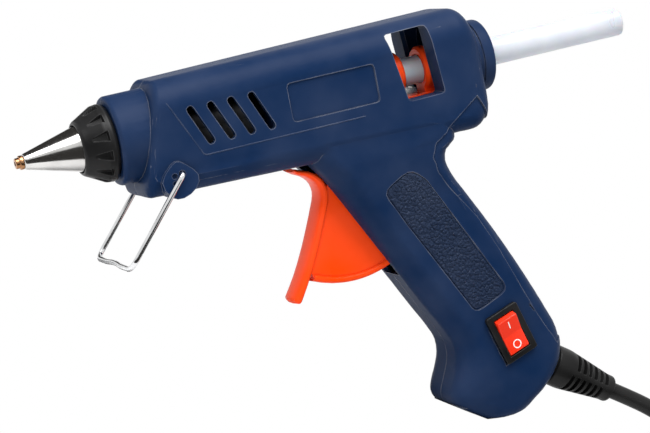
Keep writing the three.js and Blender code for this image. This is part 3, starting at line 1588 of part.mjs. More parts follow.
// The finger lever: a curved plate with a round lower end.
function leverOutline() {
  const curve = leverFront();
  const steps = leverShares.length * 2 - 2;
  const shares = Array.from({ length: steps + 1 }, (_, i) => i / steps);
  const front = shares.map((share) => curve.getPoint(share));
  const back = shares.map((share, i) => {
    const tangent = curve.getTangent(share);
    const row = share * (leverThicknessShares.length - 1);
    const low = Math.min(Math.floor(row), leverThicknessShares.length - 2);
    const thick = mix(leverThicknessShares[low], leverThicknessShares[low + 1], row - low);
    const normal = new THREE.Vector3(-tangent.z, 0, tangent.x);
    return front[i].clone().addScaledVector(normal, thick * LEVER_THICKNESS);
  });
  const centre = front.at(-1).clone().add(back.at(-1)).divideScalar(2);
  const start = front.at(-1).clone().sub(centre);
  const end = Array.from({ length: END_STEPS - 1 }, (_, k) =>
    start.clone().applyAxisAngle(new THREE.Vector3(0, 1, 0), (-(k + 1) * Math.PI) / END_STEPS).add(centre),
  );
  return [...front, ...end, ...back.reverse()].map((p) => [p.x, p.z]);
}

// Points on a circle round the pivot, angles counted rearward from straight down.
function rimArc(radius, from, to, steps) {
  return Array.from({ length: steps + 1 }, (_, i) => {
    const angle = mix(from, to, i / steps);
    return [PIVOT_X + radius * Math.sin(angle), PIVOT_Z - radius * Math.cos(angle)];
  });
}

// The fan of sheet between the lever and the rim, reaching into the handle.
function fanOutline(radius) {
  const back = leverFront();
  const behind = fanShares.map((share) => {
    const point = back.getPoint(share);
    return [point.x + LEVER_THICKNESS / 2, point.z];
  });
  const arc = rimArc(radius, -RIM_FRONT_ANGLE, RIM_REAR_ANGLE, RIM_STEPS);
  const hub = [[PIVOT_X + TRIGGER_HUB, PIVOT_Z], [PIVOT_X, PIVOT_Z + TRIGGER_HUB]];
  return [...behind, ...arc, ...hub];
}

function triggerRim() {
  const inner = rimArc(RIM_RADIUS - RIM_BEAD, RIM_REAR_ANGLE, -RIM_FRONT_ANGLE, RIM_STEPS);
  const outer = rimArc(RIM_RADIUS, -RIM_FRONT_ANGLE, RIM_REAR_ANGLE, RIM_STEPS);
  return prism([...outer, ...inner], -TRIGGER_HALF_WIDTH, TRIGGER_HALF_WIDTH);
}

// The drive arm that reaches up from the hub into the slide.
function triggerArm() {
  const [x, z] = drivePinPlace(ARM_ANGLE);
  const across = new THREE.Vector2(Math.cos(ARM_ANGLE), -Math.sin(ARM_ANGLE));
  const root = ARM_WIDTH / 2;
  const end = ARM_END_WIDTH / 2;
  const outline = [
    [PIVOT_X - across.x * root, PIVOT_Z - across.y * root],
    [PIVOT_X + across.x * root, PIVOT_Z + across.y * root],
    [x + across.x * end, z + across.y * end],
    [x - across.x * end, z - across.y * end],
  ];
  const round = rodY(x, z, end, -ARM_HALF_WIDTH, ARM_HALF_WIDTH, BORE_SIDES);
  return union(prism(outline, -ARM_HALF_WIDTH, ARM_HALF_WIDTH), round);
}

function trigger() {
  const half = TRIGGER_HALF_WIDTH;
  const lever = prism(leverOutline(), -half, half);
  const fan = prism(fanOutline(RIM_RADIUS - RIM_BEAD / 2), -TRIGGER_SIDE, TRIGGER_SIDE);
  const hub = rodY(PIVOT_X, PIVOT_Z, TRIGGER_HUB, -half, half, DRUM_SIDES);
  const core = TRIGGER_SIDE - TRIGGER_SHEET;
  const pocket = prism(fanPocket(), -core, core);
  const [x, z] = drivePinPlace(ARM_ANGLE);
  return cut(
    union(cut(union(lever, fan, triggerRim()), pocket), hub, triggerArm()),
    rodY(PIVOT_X, PIVOT_Z, PIVOT_PIN_RADIUS + GAP, -half - OVERRUN, half + OVERRUN, BORE_SIDES),
    rodY(x, z, DRIVE_PIN_RADIUS + GAP / 2, -half, half, PIN_SIDES),
  );
}

// The hollow between the fan's two sheets, open at the rear.
function fanPocket() {
  const inner = RIM_RADIUS - RIM_BEAD;
  const from = -RIM_FRONT_ANGLE * pocketFrontShare;
  const to = RIM_REAR_ANGLE * pocketRearShare;
  const arc = rimArc(inner, from, to, RIM_STEPS);
  const root = [
    [PIVOT_X + TRIGGER_HUB * pocketRootShares[0], PIVOT_Z - TRIGGER_HUB],
    [PIVOT_X - TRIGGER_HUB * pocketRootShares[1], PIVOT_Z - TRIGGER_HUB * pocketRootShares[2]],
  ];
  return [...arc, ...root];
}

function pivotPin() {
  return rodY(PIVOT_X, PIVOT_Z, PIVOT_PIN_RADIUS, -PIVOT_PIN_REACH, PIVOT_PIN_REACH, BORE_SIDES);
}

function drivePin() {
  const [x, z] = drivePinPlace(ARM_ANGLE);
  return rodY(x, z, DRIVE_PIN_RADIUS, -SLIDE_HALF_WIDTH, SLIDE_HALF_WIDTH, PIN_SIDES);
}

function returnSpring() {
  const from = LUG_X + LUG_LENGTH + GAP;
  const to = SPRING_POST_X - GAP;
  const sizes = [RETURN_SPRING_RADIUS, RETURN_SPRING_WIRE, RETURN_SPRING_CURLS];
  return helix("return_spring", from, to, flat([0, -RETURN_SPRING_DEPTH]), ...sizes);
}

// Wire stand

// Height of the table under the gun, measured square to it from the stick's axis at x = 0.
function tableHeight() {
  const [x, z] = landEnds()[0];
  return x * Math.sin(REST_ANGLE) + z * Math.cos(REST_ANGLE);
}

function standLeg() {
  const hinge = STAND_X * Math.sin(REST_ANGLE) + STAND_Z * Math.cos(REST_ANGLE);
  return (hinge - tableHeight() - WIRE_RADIUS) / Math.cos(STAND_LEAN);
}

// Where the bar lies: down the leg from the hinge.
function standPoint(distance, y) {
  const angle = REST_ANGLE + STAND_LEAN;
  return new THREE.Vector3(STAND_X - distance * Math.sin(angle), y, STAND_Z - distance * Math.cos(angle));
}

function wireStand() {
  const leg = standLeg();
  const wide = STAND_HALF_WIDTH;
  const kink = leg - WIRE_KINK;
  const hinge = [standPoint(0, -STAND_PIN_REACH), standPoint(0, -wide)];
  const bar = [
    standPoint(leg, -wide),
    standPoint(leg, -wide * barShares[0]),
    standPoint(kink, -wide * barShares[1]),
    standPoint(kink, wide * barShares[1]),
    standPoint(leg, wide * barShares[0]),
    standPoint(leg, wide),
  ];
  const away = [standPoint(0, wide), standPoint(0, STAND_PIN_REACH)];
  const corners = [...hinge, ...bar, ...away];
  const radii = [0, WIRE_BEND, ...bar.map(() => WIRE_CORNER)];
  const path = corners.flatMap((corner, i) => {
    if (i === 0 || i === corners.length - 1) return [corner];
    const radius = radii[i] ?? WIRE_BEND;
    return bentPath([corners[i - 1], corner, corners[i + 1]], radius, WIRE_BEND_STEPS).slice(1, -1);
  });
  return tube(path, WIRE_RADIUS, WIRE_SIDES);
}

// Screws

function housingScrew(x, z) {
  const seat = SCREW_HEAD_SEAT + GAP;
  const head = rodY(x, z, SCREW_HEAD_RADIUS, seat, seat + SCREW_HEAD_LENGTH, HEAD_SIDES);
  const shank = rodY(x, z, SCREW_RADIUS, SCREW_HEAD_SEAT - SCREW_LENGTH, seat + GAP, SCREW_SIDES);
  return union(head, shank);
}

// Rocker switch, in its own frame

function switchBody() {
  const [bezel, width] = [BEZEL_LENGTH / 2, BEZEL_WIDTH / 2];
  const outline = [[-bezel, -width], [bezel, -width], [bezel, width], [-bezel, width]];
  const frame = prism(outline, -BEZEL_THICKNESS, 0, BEZEL_CORNER);
  const [length, half] = [SWITCH_LENGTH / 2, SWITCH_WIDTH / 2];
  const body = box(-length, length, -BEZEL_THICKNESS / 2, SWITCH_DEPTH, -half, half);
  const reach = ROCKER_RADIUS + GAP;
  const pocketHalf = ROCKER_WIDTH / 2 + GAP;
  const above = -BEZEL_THICKNESS - OVERRUN;
  const pocket = box(-reach, reach, above, ROCKER_POCKET_DEPTH, -pocketHalf, pocketHalf);
  const seat = pocketHalf + TRUNNION_LENGTH + GAP;
  const hole = TRUNNION_RADIUS + GAP;
  const ear = solid(new THREE.CylinderGeometry(hole, hole, 2 * seat, PIN_SIDES).rotateX(Math.PI / 2));
  return cut(union(frame, body), pocket, ear);
}

// The rocker, level: a shallow valley across the middle and ends on a circle round its pivot.
function rockerOutline() {
  const reach = (depth) => Math.sqrt(ROCKER_RADIUS ** 2 - depth ** 2);
  const side = [-ROCKER_HEIGHT, -ROCKER_HEIGHT / 2, 0, ROCKER_DEPTH / 2, ROCKER_DEPTH];
  const right = side.map((y) => [reach(y), y]);
  const left = side.map((y) => [-reach(y), y]).reverse();
  return [...right, ...left, [0, -ROCKER_VALLEY]];
}

function switchRocker() {
  const half = ROCKER_WIDTH / 2;
  const shape = sharpShape(rockerOutline());
  const geometry = new THREE.ExtrudeGeometry(shape, { depth: ROCKER_WIDTH, bevelEnabled: false });
  geometry.translate(0, 0, -half);
  const trunnion = half + TRUNNION_LENGTH;
  const pin = new THREE.CylinderGeometry(TRUNNION_RADIUS, TRUNNION_RADIUS, 2 * trunnion, PIN_SIDES);
  return union(solid(geometry), solid(pin.rotateX(Math.PI / 2)));
}

function switchTerminal(side) {
  const x = (side * TERMINAL_SPACING) / 2;
  const half = TERMINAL_WIDTH / 2;
  const [y1, y2] = [SWITCH_DEPTH + GAP, SWITCH_DEPTH + GAP + TERMINAL_LENGTH];
  return box(x, x + TERMINAL_THICKNESS, y1, y2, -half, half);
}

// Strain relief, in its own frame

function strainRelief() {
  const neckRear = -RELIEF_NECK_LENGTH - GAP;
  const flangeRear = neckRear - RELIEF_FLANGE_LENGTH;
  const front = [
    [flangeRear, 0],
    [flangeRear, RELIEF_FLANGE],
    [neckRear, RELIEF_FLANGE],
    [neckRear, RELIEF_NECK],
    [0, RELIEF_NECK],
    [0, RELIEF_RADIUS],
    [RELIEF_PLAIN, RELIEF_RADIUS],
  ];
  const pitch = (RELIEF_LENGTH - RELIEF_PLAIN) / RELIEF_RIBS;
  const ribs = Array.from({ length: RELIEF_RIBS }, (_, i) => {
    const x = RELIEF_PLAIN + i * pitch;
    const radius = mix(RELIEF_RADIUS, RELIEF_END_RADIUS, (i + 1) / RELIEF_RIBS);
    const groove = Math.max(radius - RELIEF_GROOVE, CORD_RADIUS + GAP);
    const slot = pitch * slotShare;
    return [
      [x, groove],
      [x + slot, groove],
      [x + slot, radius],
      [x + pitch, radius],
    ];
  }).flat();
  return turned([...front, ...ribs, [RELIEF_LENGTH, 0]], PIN_SIDES);
}

function innerCord() {
  const front = -RELIEF_NECK_LENGTH - RELIEF_FLANGE_LENGTH - GAP * 2;
  return rodX(front - INNER_CORD_LENGTH, front, CORD_RADIUS, TIP_SIDES);
}

// A bridge over the cord, from foot to foot.
function cordClamp() {
  const low = CORD_RADIUS + GAP;
  const feet = [1, -1].map((side) => clampFoot(side * CLAMP_SPAN));
  const end = CLAMP_SPAN + CLAMP_FOOT_RADIUS;
  const half = CLAMP_WIDTH / 2;
  const bar = box(-CLAMP_BACK - half, -CLAMP_BACK + half, low, low + CLAMP_THICKNESS, -end, end);
  const holes = [1, -1].map((side) =>
    rodY(-CLAMP_BACK, side * CLAMP_SPAN, CLAMP_SCREW_RADIUS + GAP, -OVERRUN, low + OVERRUN, SCREW_SIDES),
  );
  return cut(union(bar, ...feet), ...holes);
}

function clampFoot(z) {
  const low = CORD_RADIUS + GAP;
  return rodY(-CLAMP_BACK, z, CLAMP_FOOT_RADIUS, HALF_GAP, low + CLAMP_THICKNESS / 2, SCREW_SIDES);
}

function clampScrew(side) {
  const z = side * CLAMP_SPAN;
  const seat = CORD_RADIUS + GAP * 2 + CLAMP_THICKNESS;
  const head = rodY(-CLAMP_BACK, z, CLAMP_HEAD_RADIUS, seat, seat + CLAMP_HEAD_LENGTH, PIN_SIDES);
  const end = seat - CLAMP_SCREW_LENGTH;
  const shank = rodY(-CLAMP_BACK, z, CLAMP_SCREW_RADIUS, end, seat + GAP, SCREW_SIDES);
  return union(head, shank);
}

// Inner leads

// A lead through its points, each step rounded by a smooth curve.
function lead(points) {
  const curve = new THREE.CatmullRomCurve3(points, false, "catmullrom", LEAD_TENSION);
  const steps = Math.round(curve.getLength() / LEAD_STEP);
  return tube(curve.getSpacedPoints(steps), LEAD_RADIUS, LEAD_SIDES);
}

function inHandle(along, across, y) {
  return flat(onHandle([along, across])).setY(y);
}

function fromSwitch(x, y, z) {
  return new THREE.Vector3(x, y, z).applyMatrix4(switchGroup().matrix);
}

function atRelief(x, y, z) {
  return new THREE.Vector3(x, y, z).applyMatrix4(reliefGroup().matrix);
}

// Where the leads come out of the cord's sheath.
function innerCordEnd() {
  return -RELIEF_NECK_LENGTH - RELIEF_FLANGE_LENGTH - GAP * 3 - INNER_CORD_LENGTH - LEAD_RADIUS / 2;
}

function leadToSwitch() {
  const start = innerCordEnd();
  const spread = CORD_RADIUS / 2;
  const side = TERMINAL_SPACING / 2 + TERMINAL_THICKNESS / 2;
  const end = SWITCH_DEPTH + TERMINAL_LENGTH + GAP * 2 + LEAD_RADIUS;
  return lead([
    atRelief(start, spread, 0),
    atRelief(start - 2 * spread, 2 * spread, 0),
    fromSwitch(side, end + spread, 0),
    fromSwitch(side, end, 0),
  ]);
}

// Past the trigger's swing, under the slide and along the chamber, on one side of the gun.
function heaterRun(side) {
  const y = side * LEAD_OFFSET;
  const heaterRear = HEATER_X + HEATER_LENGTH;
  const [bottom, top] = ptcHeights();
  const middle = (bottom + top) / 2;
  const leadRise = UNDER_SCREW_RISE + POST_RADIUS + LEAD_RADIUS * 2;
  return [
    ...leadShares.map(([along, across, offset]) => inHandle(along, across, y * offset)),
    flat([UNDER_SCREW_X, bodyBottom(UNDER_SCREW_X) + leadRise]).setY(y),
    flat([heaterRear + LEAD_STEP / 2, middle]).setY(y * heaterShare),
    flat([heaterRear + LEAD_RADIUS - HEATER_WALL + GAP, middle]).setY(side * PTC_HALF_WIDTH * ptcShare),
  ];
}

function leadSwitched() {
  const side = -TERMINAL_SPACING / 2 + TERMINAL_THICKNESS / 2;
  const end = SWITCH_DEPTH + TERMINAL_LENGTH + GAP * 2 + LEAD_RADIUS;
  return lead([fromSwitch(side, end, 0), fromSwitch(side * 2, end, 0), ...heaterRun(1)]);
}

function leadReturn() {
  const start = innerCordEnd();
  const spread = CORD_RADIUS / 2;
  return lead([
    atRelief(start, -spread, 0),
    atRelief(start - 3 * spread, 0, -3 * spread),
    ...returnShares.map(([along, across, offset]) => inHandle(along, across, -LEAD_OFFSET * offset)),
    ...heaterRun(-1),
  ]);
}

// Mains cord, in the table's frame

// Where the cord comes out of the strain relief.
function cordExit(gun) {
  return atRelief(RELIEF_LENGTH + GAP, 0, 0).applyMatrix4(gun.matrixWorld);
}

// Height of the cord's middle in a layer of the hank, counted up from the table.
function layerHeight(layer) {
  return CORD_RADIUS + CORD_LIFT + layer * HANK_PITCH;
}

// Where the hank's first run begins, in its top layer.
function hankStart(exit) {
  const x = exit.x + cordRoute.at(-1)[0] + GAP + 2 * CORD_RADIUS;
  return new THREE.Vector3(x, -HANK_FOLD, layerHeight(HANK_LAYERS - 1));
}

// The free stretch, over to the hank.
function cordRun(exit) {
  const start = hankStart(exit);
  const points = cordRoute.map(([along, side, left]) =>
    new THREE.Vector3(exit.x + along, mix(exit.y, start.y, side), mix(start.z, exit.z, left)),
  );
  const curve = new THREE.CatmullRomCurve3(points, false, "catmullrom");
  const steps = Math.round(curve.getLength() / CORD_STEP);
  return tube(curve.getSpacedPoints(steps), CORD_RADIUS, CORD_SIDES);
}

// A point of a loop at a share of one of its four parts: a run, a fold, the run back and
// a fold. The runs are drawn in at the waist, and the run back comes down a layer.
function hankPoint(loop, part, share, start) {
  const turn = Math.PI * (share - 1 / 2);
  const near = Math.min(share, 1 - share);
  const drawn = THREE.MathUtils.smoothstep(near, 0, drawnShare);
  const side = mix(HANK_FOLD, HANK_WAIST, drawn);
  const [along, across] = [
    [HANK_RUN * share, -side],
    [HANK_RUN + HANK_FOLD * Math.cos(turn), HANK_FOLD * Math.sin(turn)],
    [HANK_RUN * (1 - share), side],
    [-HANK_FOLD * Math.cos(turn), -HANK_FOLD * Math.sin(turn)],
  ][part];
  const fall = [0, 0, THREE.MathUtils.smoothstep(share, 0, 1), 1][part];
  const height = layerHeight(HANK_LAYERS - 1 - loop - fall);
  return new THREE.Vector3(start.x + along, across, height);
}

// From the hank's last run to the plug.
function tailPoints(end) {
  return tailRoute.map(([along, side, rise]) =>
    new THREE.Vector3(end.x + along, mix(end.y, PLUG_SIDE, side), mix(end.z, PLUG_HEIGHT, rise)),
  );
}

function hankPoints(exit) {
  const start = hankStart(exit);
  const lead = start.clone().setX(start.x - 2 * CORD_RADIUS);
  const parts = Array.from({ length: 4 * (HANK_LAYERS - 1) + 1 }, (_, i) => i);
  const loops = parts.flatMap((i) => {
    const steps = i % 2 === 0 ? HANK_RUN_STEPS : HANK_FOLD_STEPS;
    const shares = Array.from({ length: steps }, (_, k) => k / steps);
    return shares.map((share) => hankPoint(Math.floor(i / 4), i % 4, share, start));
  });
  return [lead, ...loops, ...tailPoints(hankPoint(HANK_LAYERS - 1, 0, 1, start))];
}

function cordHank(exit) {
  const points = hankPoints(exit);
  reportGap("cord_hank", points, CORD_RADIUS, HANK_RUN_STEPS + HANK_FOLD_STEPS);
  return tube(points, CORD_RADIUS, HANK_SIDES);
}

// The least gap between stretches of one tube that lie at least the given steps apart.
function reportGap(name, points, radius, apart) {
  let least = BEYOND;
  points.forEach((point, i) => {
    points.slice(i + apart).forEach((other) => {
      least = Math.min(least, point.distanceTo(other) - 2 * radius);
    });
  });
  console.log(`${name}: least gap to itself ${least.toFixed(2)} mm`);
}

// A band round the hank's waist.
function cordTie(exit) {
  const start = hankStart(exit);
  const wide = HANK_WAIST + CORD_RADIUS + TIE_ROOM;
  const high = start.z + CORD_RADIUS + GAP;
  const half = TIE_WIDTH / 2;
  const hole = [
    [-wide, TIE_THICKNESS],
    [wide, TIE_THICKNESS],
    [wide, high],
    [-wide, high],
  ];
  const outer = prism(grown(hole, TIE_THICKNESS), -half, half, TIE_CORNER, TIE_CORNER_STEPS);
  const band = cut(outer, prism(hole, -half - GAP, half + GAP, TIE_CORNER, TIE_CORNER_STEPS));
  return solid(geometryOf(band).rotateZ(Math.PI / 2).translate(start.x + HANK_RUN / 2, 0, 0));
}

// The plug's own frame: X out of the cord's end towards the pins, Y up.
function plugGroup(exit) {
  const end = hankPoints(exit).at(-1);
  const group = new THREE.Group();
  group.position.set(end.x + GAP, end.y, end.z);
  group.rotation.x = Math.PI / 2;
  return group;
}

function plugOutline() {
  const wide = PLUG_WIDTH / 2;
  const neck = PLUG_NECK_WIDTH / 2;
  const shoulder = PLUG_TAIL_LENGTH + PLUG_NECK_LENGTH;
  const front = shoulder + PLUG_LENGTH;
  return [
    [PLUG_TAIL_LENGTH, -neck],
    [shoulder, -wide],
    [front, -wide],
    [front, wide],
    [shoulder, wide],
    [PLUG_TAIL_LENGTH, neck],
  ];
}

function plugBody() {
  const half = PLUG_THICKNESS / 2;
  const inner = half - PLUG_CHAMFER;
  const core = prism(plugOutline(), -inner, inner, PLUG_CORNER);
  const face = prism(grown(plugOutline(), -PLUG_CHAMFER / 2), -half, half, PLUG_CORNER);
  const front = PLUG_TAIL_LENGTH + PLUG_NECK_LENGTH + PLUG_LENGTH;
  const [root, hole] = [front - PIN_ROOT - GAP, PIN_RADIUS + GAP];
  const holes = [1, -1].map((side) => pinRod(side, root, front + OVERRUN, hole));
  return cut(union(core, face, plugTail()), ...holes);
}

// A grooved tail where the cord enters the plug.
function plugTail() {
  const pitch = PLUG_TAIL_LENGTH / PLUG_TAIL_GROOVES;
  const groove = CORD_RADIUS + GAP;
  const ribs = Array.from({ length: PLUG_TAIL_GROOVES }, (_, i) => [
    [i * pitch, PLUG_TAIL_RADIUS],
    [(i + plugRibShare) * pitch, PLUG_TAIL_RADIUS],
    [(i + plugRibShare) * pitch, groove],
    [(i + 1) * pitch, groove],
  ]).flat();
  const end = PLUG_TAIL_LENGTH + PLUG_CHAMFER;
  return turned([[0, 0], ...ribs, [end, groove], [end, 0]], PIN_SIDES);
}

function pinRod(side, x1, x2, radius) {
  const z = (side * PIN_SPACING) / 2;
  return solid(geometryOf(rodX(x1, x2, radius, TIP_SIDES)).translate(0, 0, z));
}

function plugPin(side) {
  const front = PLUG_TAIL_LENGTH + PLUG_NECK_LENGTH + PLUG_LENGTH;
  return pinRod(side, front - PIN_ROOT, front + PIN_LENGTH, PIN_RADIUS);
}

// Assembly

function addHousing(gun) {
  const shell = housing();
  const whole = [-BEYOND, BEYOND, -BEYOND, BEYOND];
  const right = box(whole[0], whole[1], -HALF_GAP, BEYOND, whole[2], whole[3]);
  const left = box(whole[0], whole[1], -BEYOND, HALF_GAP, whole[2], whole[3]);
  piece(gun, "housing_left", shell.subtract(right), BLUE);
  piece(gun, "housing_right", shell.subtract(left), BLUE);
  screwPlaces().forEach(([x, z], i) => piece(gun, `housing_screw_${i + 1}`, housingScrew(x, z), STEEL));
}

function addNozzle(gun) {
  piece(gun, "nozzle_tip", nozzleTip(), BRASS);
  piece(gun, "nozzle_cone", nozzleCone(), CHROME);
  piece(gun, "check_ball", checkBall(), STEEL);
  piece(gun, "check_spring", checkSpring(), STEEL);
  piece(gun, "nozzle_collar", nozzleCollar(), BLACK);
}

function addHeater(gun) {
  piece(gun, "melt_chamber", meltChamber(), ALUMINIUM);
  piece(gun, "heater_plate", heaterPlate(), CERAMIC);
  piece(gun, "heater_clip", heaterClip(), STEEL);
  piece(gun, "inlet_sleeve", inletSleeve(), SILICONE);
  piece(gun, "sleeve_clip", sleeveClip(), STEEL);
}

function addFeed(gun) {
  piece(gun, "feed_slide", feedSlide(), ORANGE);
  piece(gun, "grip_jaw", gripJaw(), ORANGE);
  piece(gun, "jaw_pin", jawPin(), STEEL);
  piece(gun, "trigger", trigger(), ORANGE);
  piece(gun, "trigger_pin", pivotPin(), STEEL);
  piece(gun, "drive_pin", drivePin(), STEEL);
  piece(gun, "return_spring", returnSpring(), STEEL);
  piece(gun, "glue_stick", glueStick(), CLEAR_WHITE);
  piece(gun, "guide_ring", guideRing(), BLUE);
}

function addSwitch(gun) {
  const frame = switchGroup();
  gun.add(frame);
  piece(frame, "switch_body", switchBody(), BLACK);
  piece(frame, "switch_rocker", switchRocker(), RED).rotation.z = ROCKER_SWING / 2;
  piece(frame, "switch_terminal_1", switchTerminal(1), BRASS);
  piece(frame, "switch_terminal_2", switchTerminal(-1), BRASS);
}

function addCordEntry(gun) {
  const frame = reliefGroup();
  gun.add(frame);
  piece(frame, "strain_relief", strainRelief(), BLACK);
  piece(frame, "inner_cord", innerCord(), BLACK);
  piece(frame, "cord_clamp", cordClamp(), BLACK);
  piece(frame, "clamp_screw_1", clampScrew(1), STEEL);
  piece(frame, "clamp_screw_2", clampScrew(-1), STEEL);
  piece(gun, "lead_to_switch", leadToSwitch(), LEAD_BROWN);
  piece(gun, "lead_switched", leadSwitched(), LEAD_BROWN);
  piece(gun, "lead_return", leadReturn(), LEAD_BLUE);
}

function makeGun() {
  const gun = new THREE.Group();
  addHousing(gun);
  addNozzle(gun);
  addHeater(gun);
  addFeed(gun);
  addSwitch(gun);
  addCordEntry(gun);
  piece(gun, "wire_stand", wireStand(), CHROME);
  return gun;
}

function addCord(root, exit) {
  piece(root, "cord_run", cordRun(exit), BLACK);
  piece(root, "cord_hank", cordHank(exit), BLACK);
  piece(root, "cord_tie", cordTie(exit), BLACK);
  const plug = plugGroup(exit);
  root.add(plug);
  piece(plug, "plug_body", plugBody(), BLACK);
  piece(plug, "plug_pin_1", plugPin(1), BRASS);
  piece(plug, "plug_pin_2", plugPin(-1), BRASS);
}

// The gun leans back onto its stand, the middle of its footprint box over the origin,
// and its cord lies behind it.
function assemble() {
  const root = new THREE.Group();
  const gun = makeGun();
  gun.rotation.y = -REST_ANGLE;
  gun.position.z = -tableHeight();
  root.add(gun);
  root.updateMatrixWorld(true);
  addCord(root, cordExit(gun));
  const middle = new THREE.Box3().setFromObject(gun, true).getCenter(new THREE.Vector3());
  root.position.set(-middle.x, -middle.y, 0);
  return root;
}

const glueGun = assemble();

export default glueGun;
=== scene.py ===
"""Finished looks of a hot glue gun that rests on its wire stand, built round the packed part.

The file is laid out as a Blender add-on: a panel in the 3D view's sidebar lists one operator for
each group of pieces and one for the stage. Run as a script, it calls them all in order.
Shapes are given in the gun's own frame, in millimetres: X runs rearward along the glue stick,
Y towards the right-hand flank, and Z up. row() carries them onto the packed part.
"""

import json
import math

import bmesh
import bpy
import numpy as np
from mathutils import Matrix, Vector


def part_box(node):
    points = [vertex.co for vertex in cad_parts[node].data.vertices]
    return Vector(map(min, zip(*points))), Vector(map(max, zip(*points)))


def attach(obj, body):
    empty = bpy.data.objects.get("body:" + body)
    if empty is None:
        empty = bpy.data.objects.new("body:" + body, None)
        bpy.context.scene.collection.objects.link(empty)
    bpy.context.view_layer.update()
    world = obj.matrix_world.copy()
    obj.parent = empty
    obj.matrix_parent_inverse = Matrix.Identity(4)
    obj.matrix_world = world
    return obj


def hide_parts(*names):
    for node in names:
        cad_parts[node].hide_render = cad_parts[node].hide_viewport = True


bl_info = {
    "name": "Hot Glue Gun Finish",
    "version": (1, 0, 0),
    "blender": (4, 5, 0),
    "location": "3D View > Sidebar > Glue Gun",
    "description": "Gives the packed hot glue gun its finished shapes, materials, floor and light",
    "category": "Object",
}

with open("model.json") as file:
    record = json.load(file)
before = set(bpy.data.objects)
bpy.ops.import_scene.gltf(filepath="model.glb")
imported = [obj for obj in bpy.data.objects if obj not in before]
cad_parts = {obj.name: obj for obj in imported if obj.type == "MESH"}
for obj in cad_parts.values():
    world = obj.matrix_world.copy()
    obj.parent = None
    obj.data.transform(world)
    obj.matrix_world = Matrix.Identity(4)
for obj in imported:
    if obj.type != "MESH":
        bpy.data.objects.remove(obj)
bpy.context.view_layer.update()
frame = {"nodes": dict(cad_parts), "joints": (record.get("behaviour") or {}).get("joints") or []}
JOINTS = {joint["name"]: joint for joint in frame["joints"]}

MM = 0.001
TURN = 2 * math.pi
GAP = 0.3

# The gun's frame in the row frame
REARWARD = np.array(JOINTS["stick_feed"]["axis"])
SIDEWAYS = np.array((0.0, 1.0, 0.0))
UPWARD = np.cross(REARWARD, SIDEWAYS)
GUN_AXES = np.array((REARWARD, SIDEWAYS, UPWARD))
PIVOT_X = 121.5
PIVOT_Z = -33.5
PIVOT_PLACE = np.array(JOINTS["trigger_pivot"]["pos_m"])
STICK_ZERO = PIVOT_PLACE - MM * (PIVOT_X * REARWARD + PIVOT_Z * UPWARD)
LEAN = math.atan2(REARWARD[2], REARWARD[0])

# Nozzle
TIP_FRONT = -1.0
TIP_RADIUS = 2.05
TIP_RIM_FRONT = 0.5
TIP_RIM_RADIUS = 2.7
TIP_BORE = 0.9
TIP_REAR = 7
CONE_FRONT = 2.1
CONE_FRONT_RADIUS = 2.9
CONE_SKIRT_FRONT = 24.2
CONE_RADIUS = 9
CONE_REAR = 31.2
CONE_BORE = 2.2
THREAD_RADIUS = 5.7
THREAD_REAR = 42
THREAD_PITCH = 1.25

# Black collar round the nozzle
COLLAR_FRONT = 23.2
COLLAR_REAR = 35.5
COLLAR_BORE = 9.3
COLLAR_FRONT_RADIUS = 10.6
COLLAR_RADIUS = 15
COLLAR_LIP = 1.4
COLLAR_SHANK = 12.7
COLLAR_FLANGE = 14.6
COLLAR_FLANGE_FRONT = 43
COLLAR_FLANGE_REAR = 47
COLLAR_RECESSES = 12
COLLAR_RECESS_DEPTH = 2.1
COLLAR_RECESS_EDGE = 0.12
COLLAR_RECESS_WALL = 0.3
# at a recess's narrow end: its share of the full width, and of the collar's growth in radius
COLLAR_POINT_WIDTH = 0.22
COLLAR_POINT_RISE = 0.3
COLLAR_PITCH_SIDES = 44

# Rear guide ring and glue stick
GUIDE_FRONT = 182.5
GUIDE_COLLAR_REAR = 184.5
GUIDE_COLLAR_RADIUS = 13.6
GUIDE_NECK_RADIUS = 11.6
GUIDE_NECK_REAR = 187.3
GUIDE_FLANGE_FRONT = 189.2
GUIDE_FLANGE_REAR = 194.2
GUIDE_FLANGE_RADIUS = 14.4
GUIDE_MOUTH = 9
GUIDE_BORE = 6.4
STICK_FRONT = 72
STICK_REAR = 258
STICK_RADIUS = 5.6
STICK_MELT = (2.8, 1.9)

# Wire stand: hinge, lean and the bar with its kink
STAND_X = 55.2
STAND_Z = -15.6
STAND_LEAN = math.radians(6.5)
STAND_LEG = 40.45
STAND_HALF_WIDTH = 22.4
STAND_HINGE_REACH = 15.5
WIRE_RADIUS = 1.05
WIRE_BEND = 1.35
WIRE_CORNER = 3.2
WIRE_KINK = 0.5
# across the bar, as shares of its half width, and whether the wire is kinked up there
barShares = ((-1, 0), (-1 / 2.6, 0), (-1 / 7, 1), (1 / 7, 1), (1 / 2.6, 0), (1, 0))

# Handle's own frame, and the outline of its grip panel along and across it
HANDLE_X = 115
HANDLE_Z = -28
HANDLE_SLOPE = math.radians(63)
HANDLE_LENGTH = 120
HANDLE_DEPTH = 50
gripShares = (
    (0.174, 0.215), (0.176, 0.5), (0.24, 0.565), (0.725, 0.57), (0.708, 0.235), (0.664, 0.234),
)
GRIP_CORNER = 4
GRIP_DEPTH = 0.6
GRIP_RISE = 0.55
GRIP_PITCH = 1.9
GRIP_RELIEF = 0.5
GRIP_MARGIN = 0.4
GRIP_EDGE = 0.7
GRIP_ROWS = 240
GRIP_COLUMNS = 80
GRIP_END_STEPS = 25
GRIP_OUTLINE_STEP = 0.4
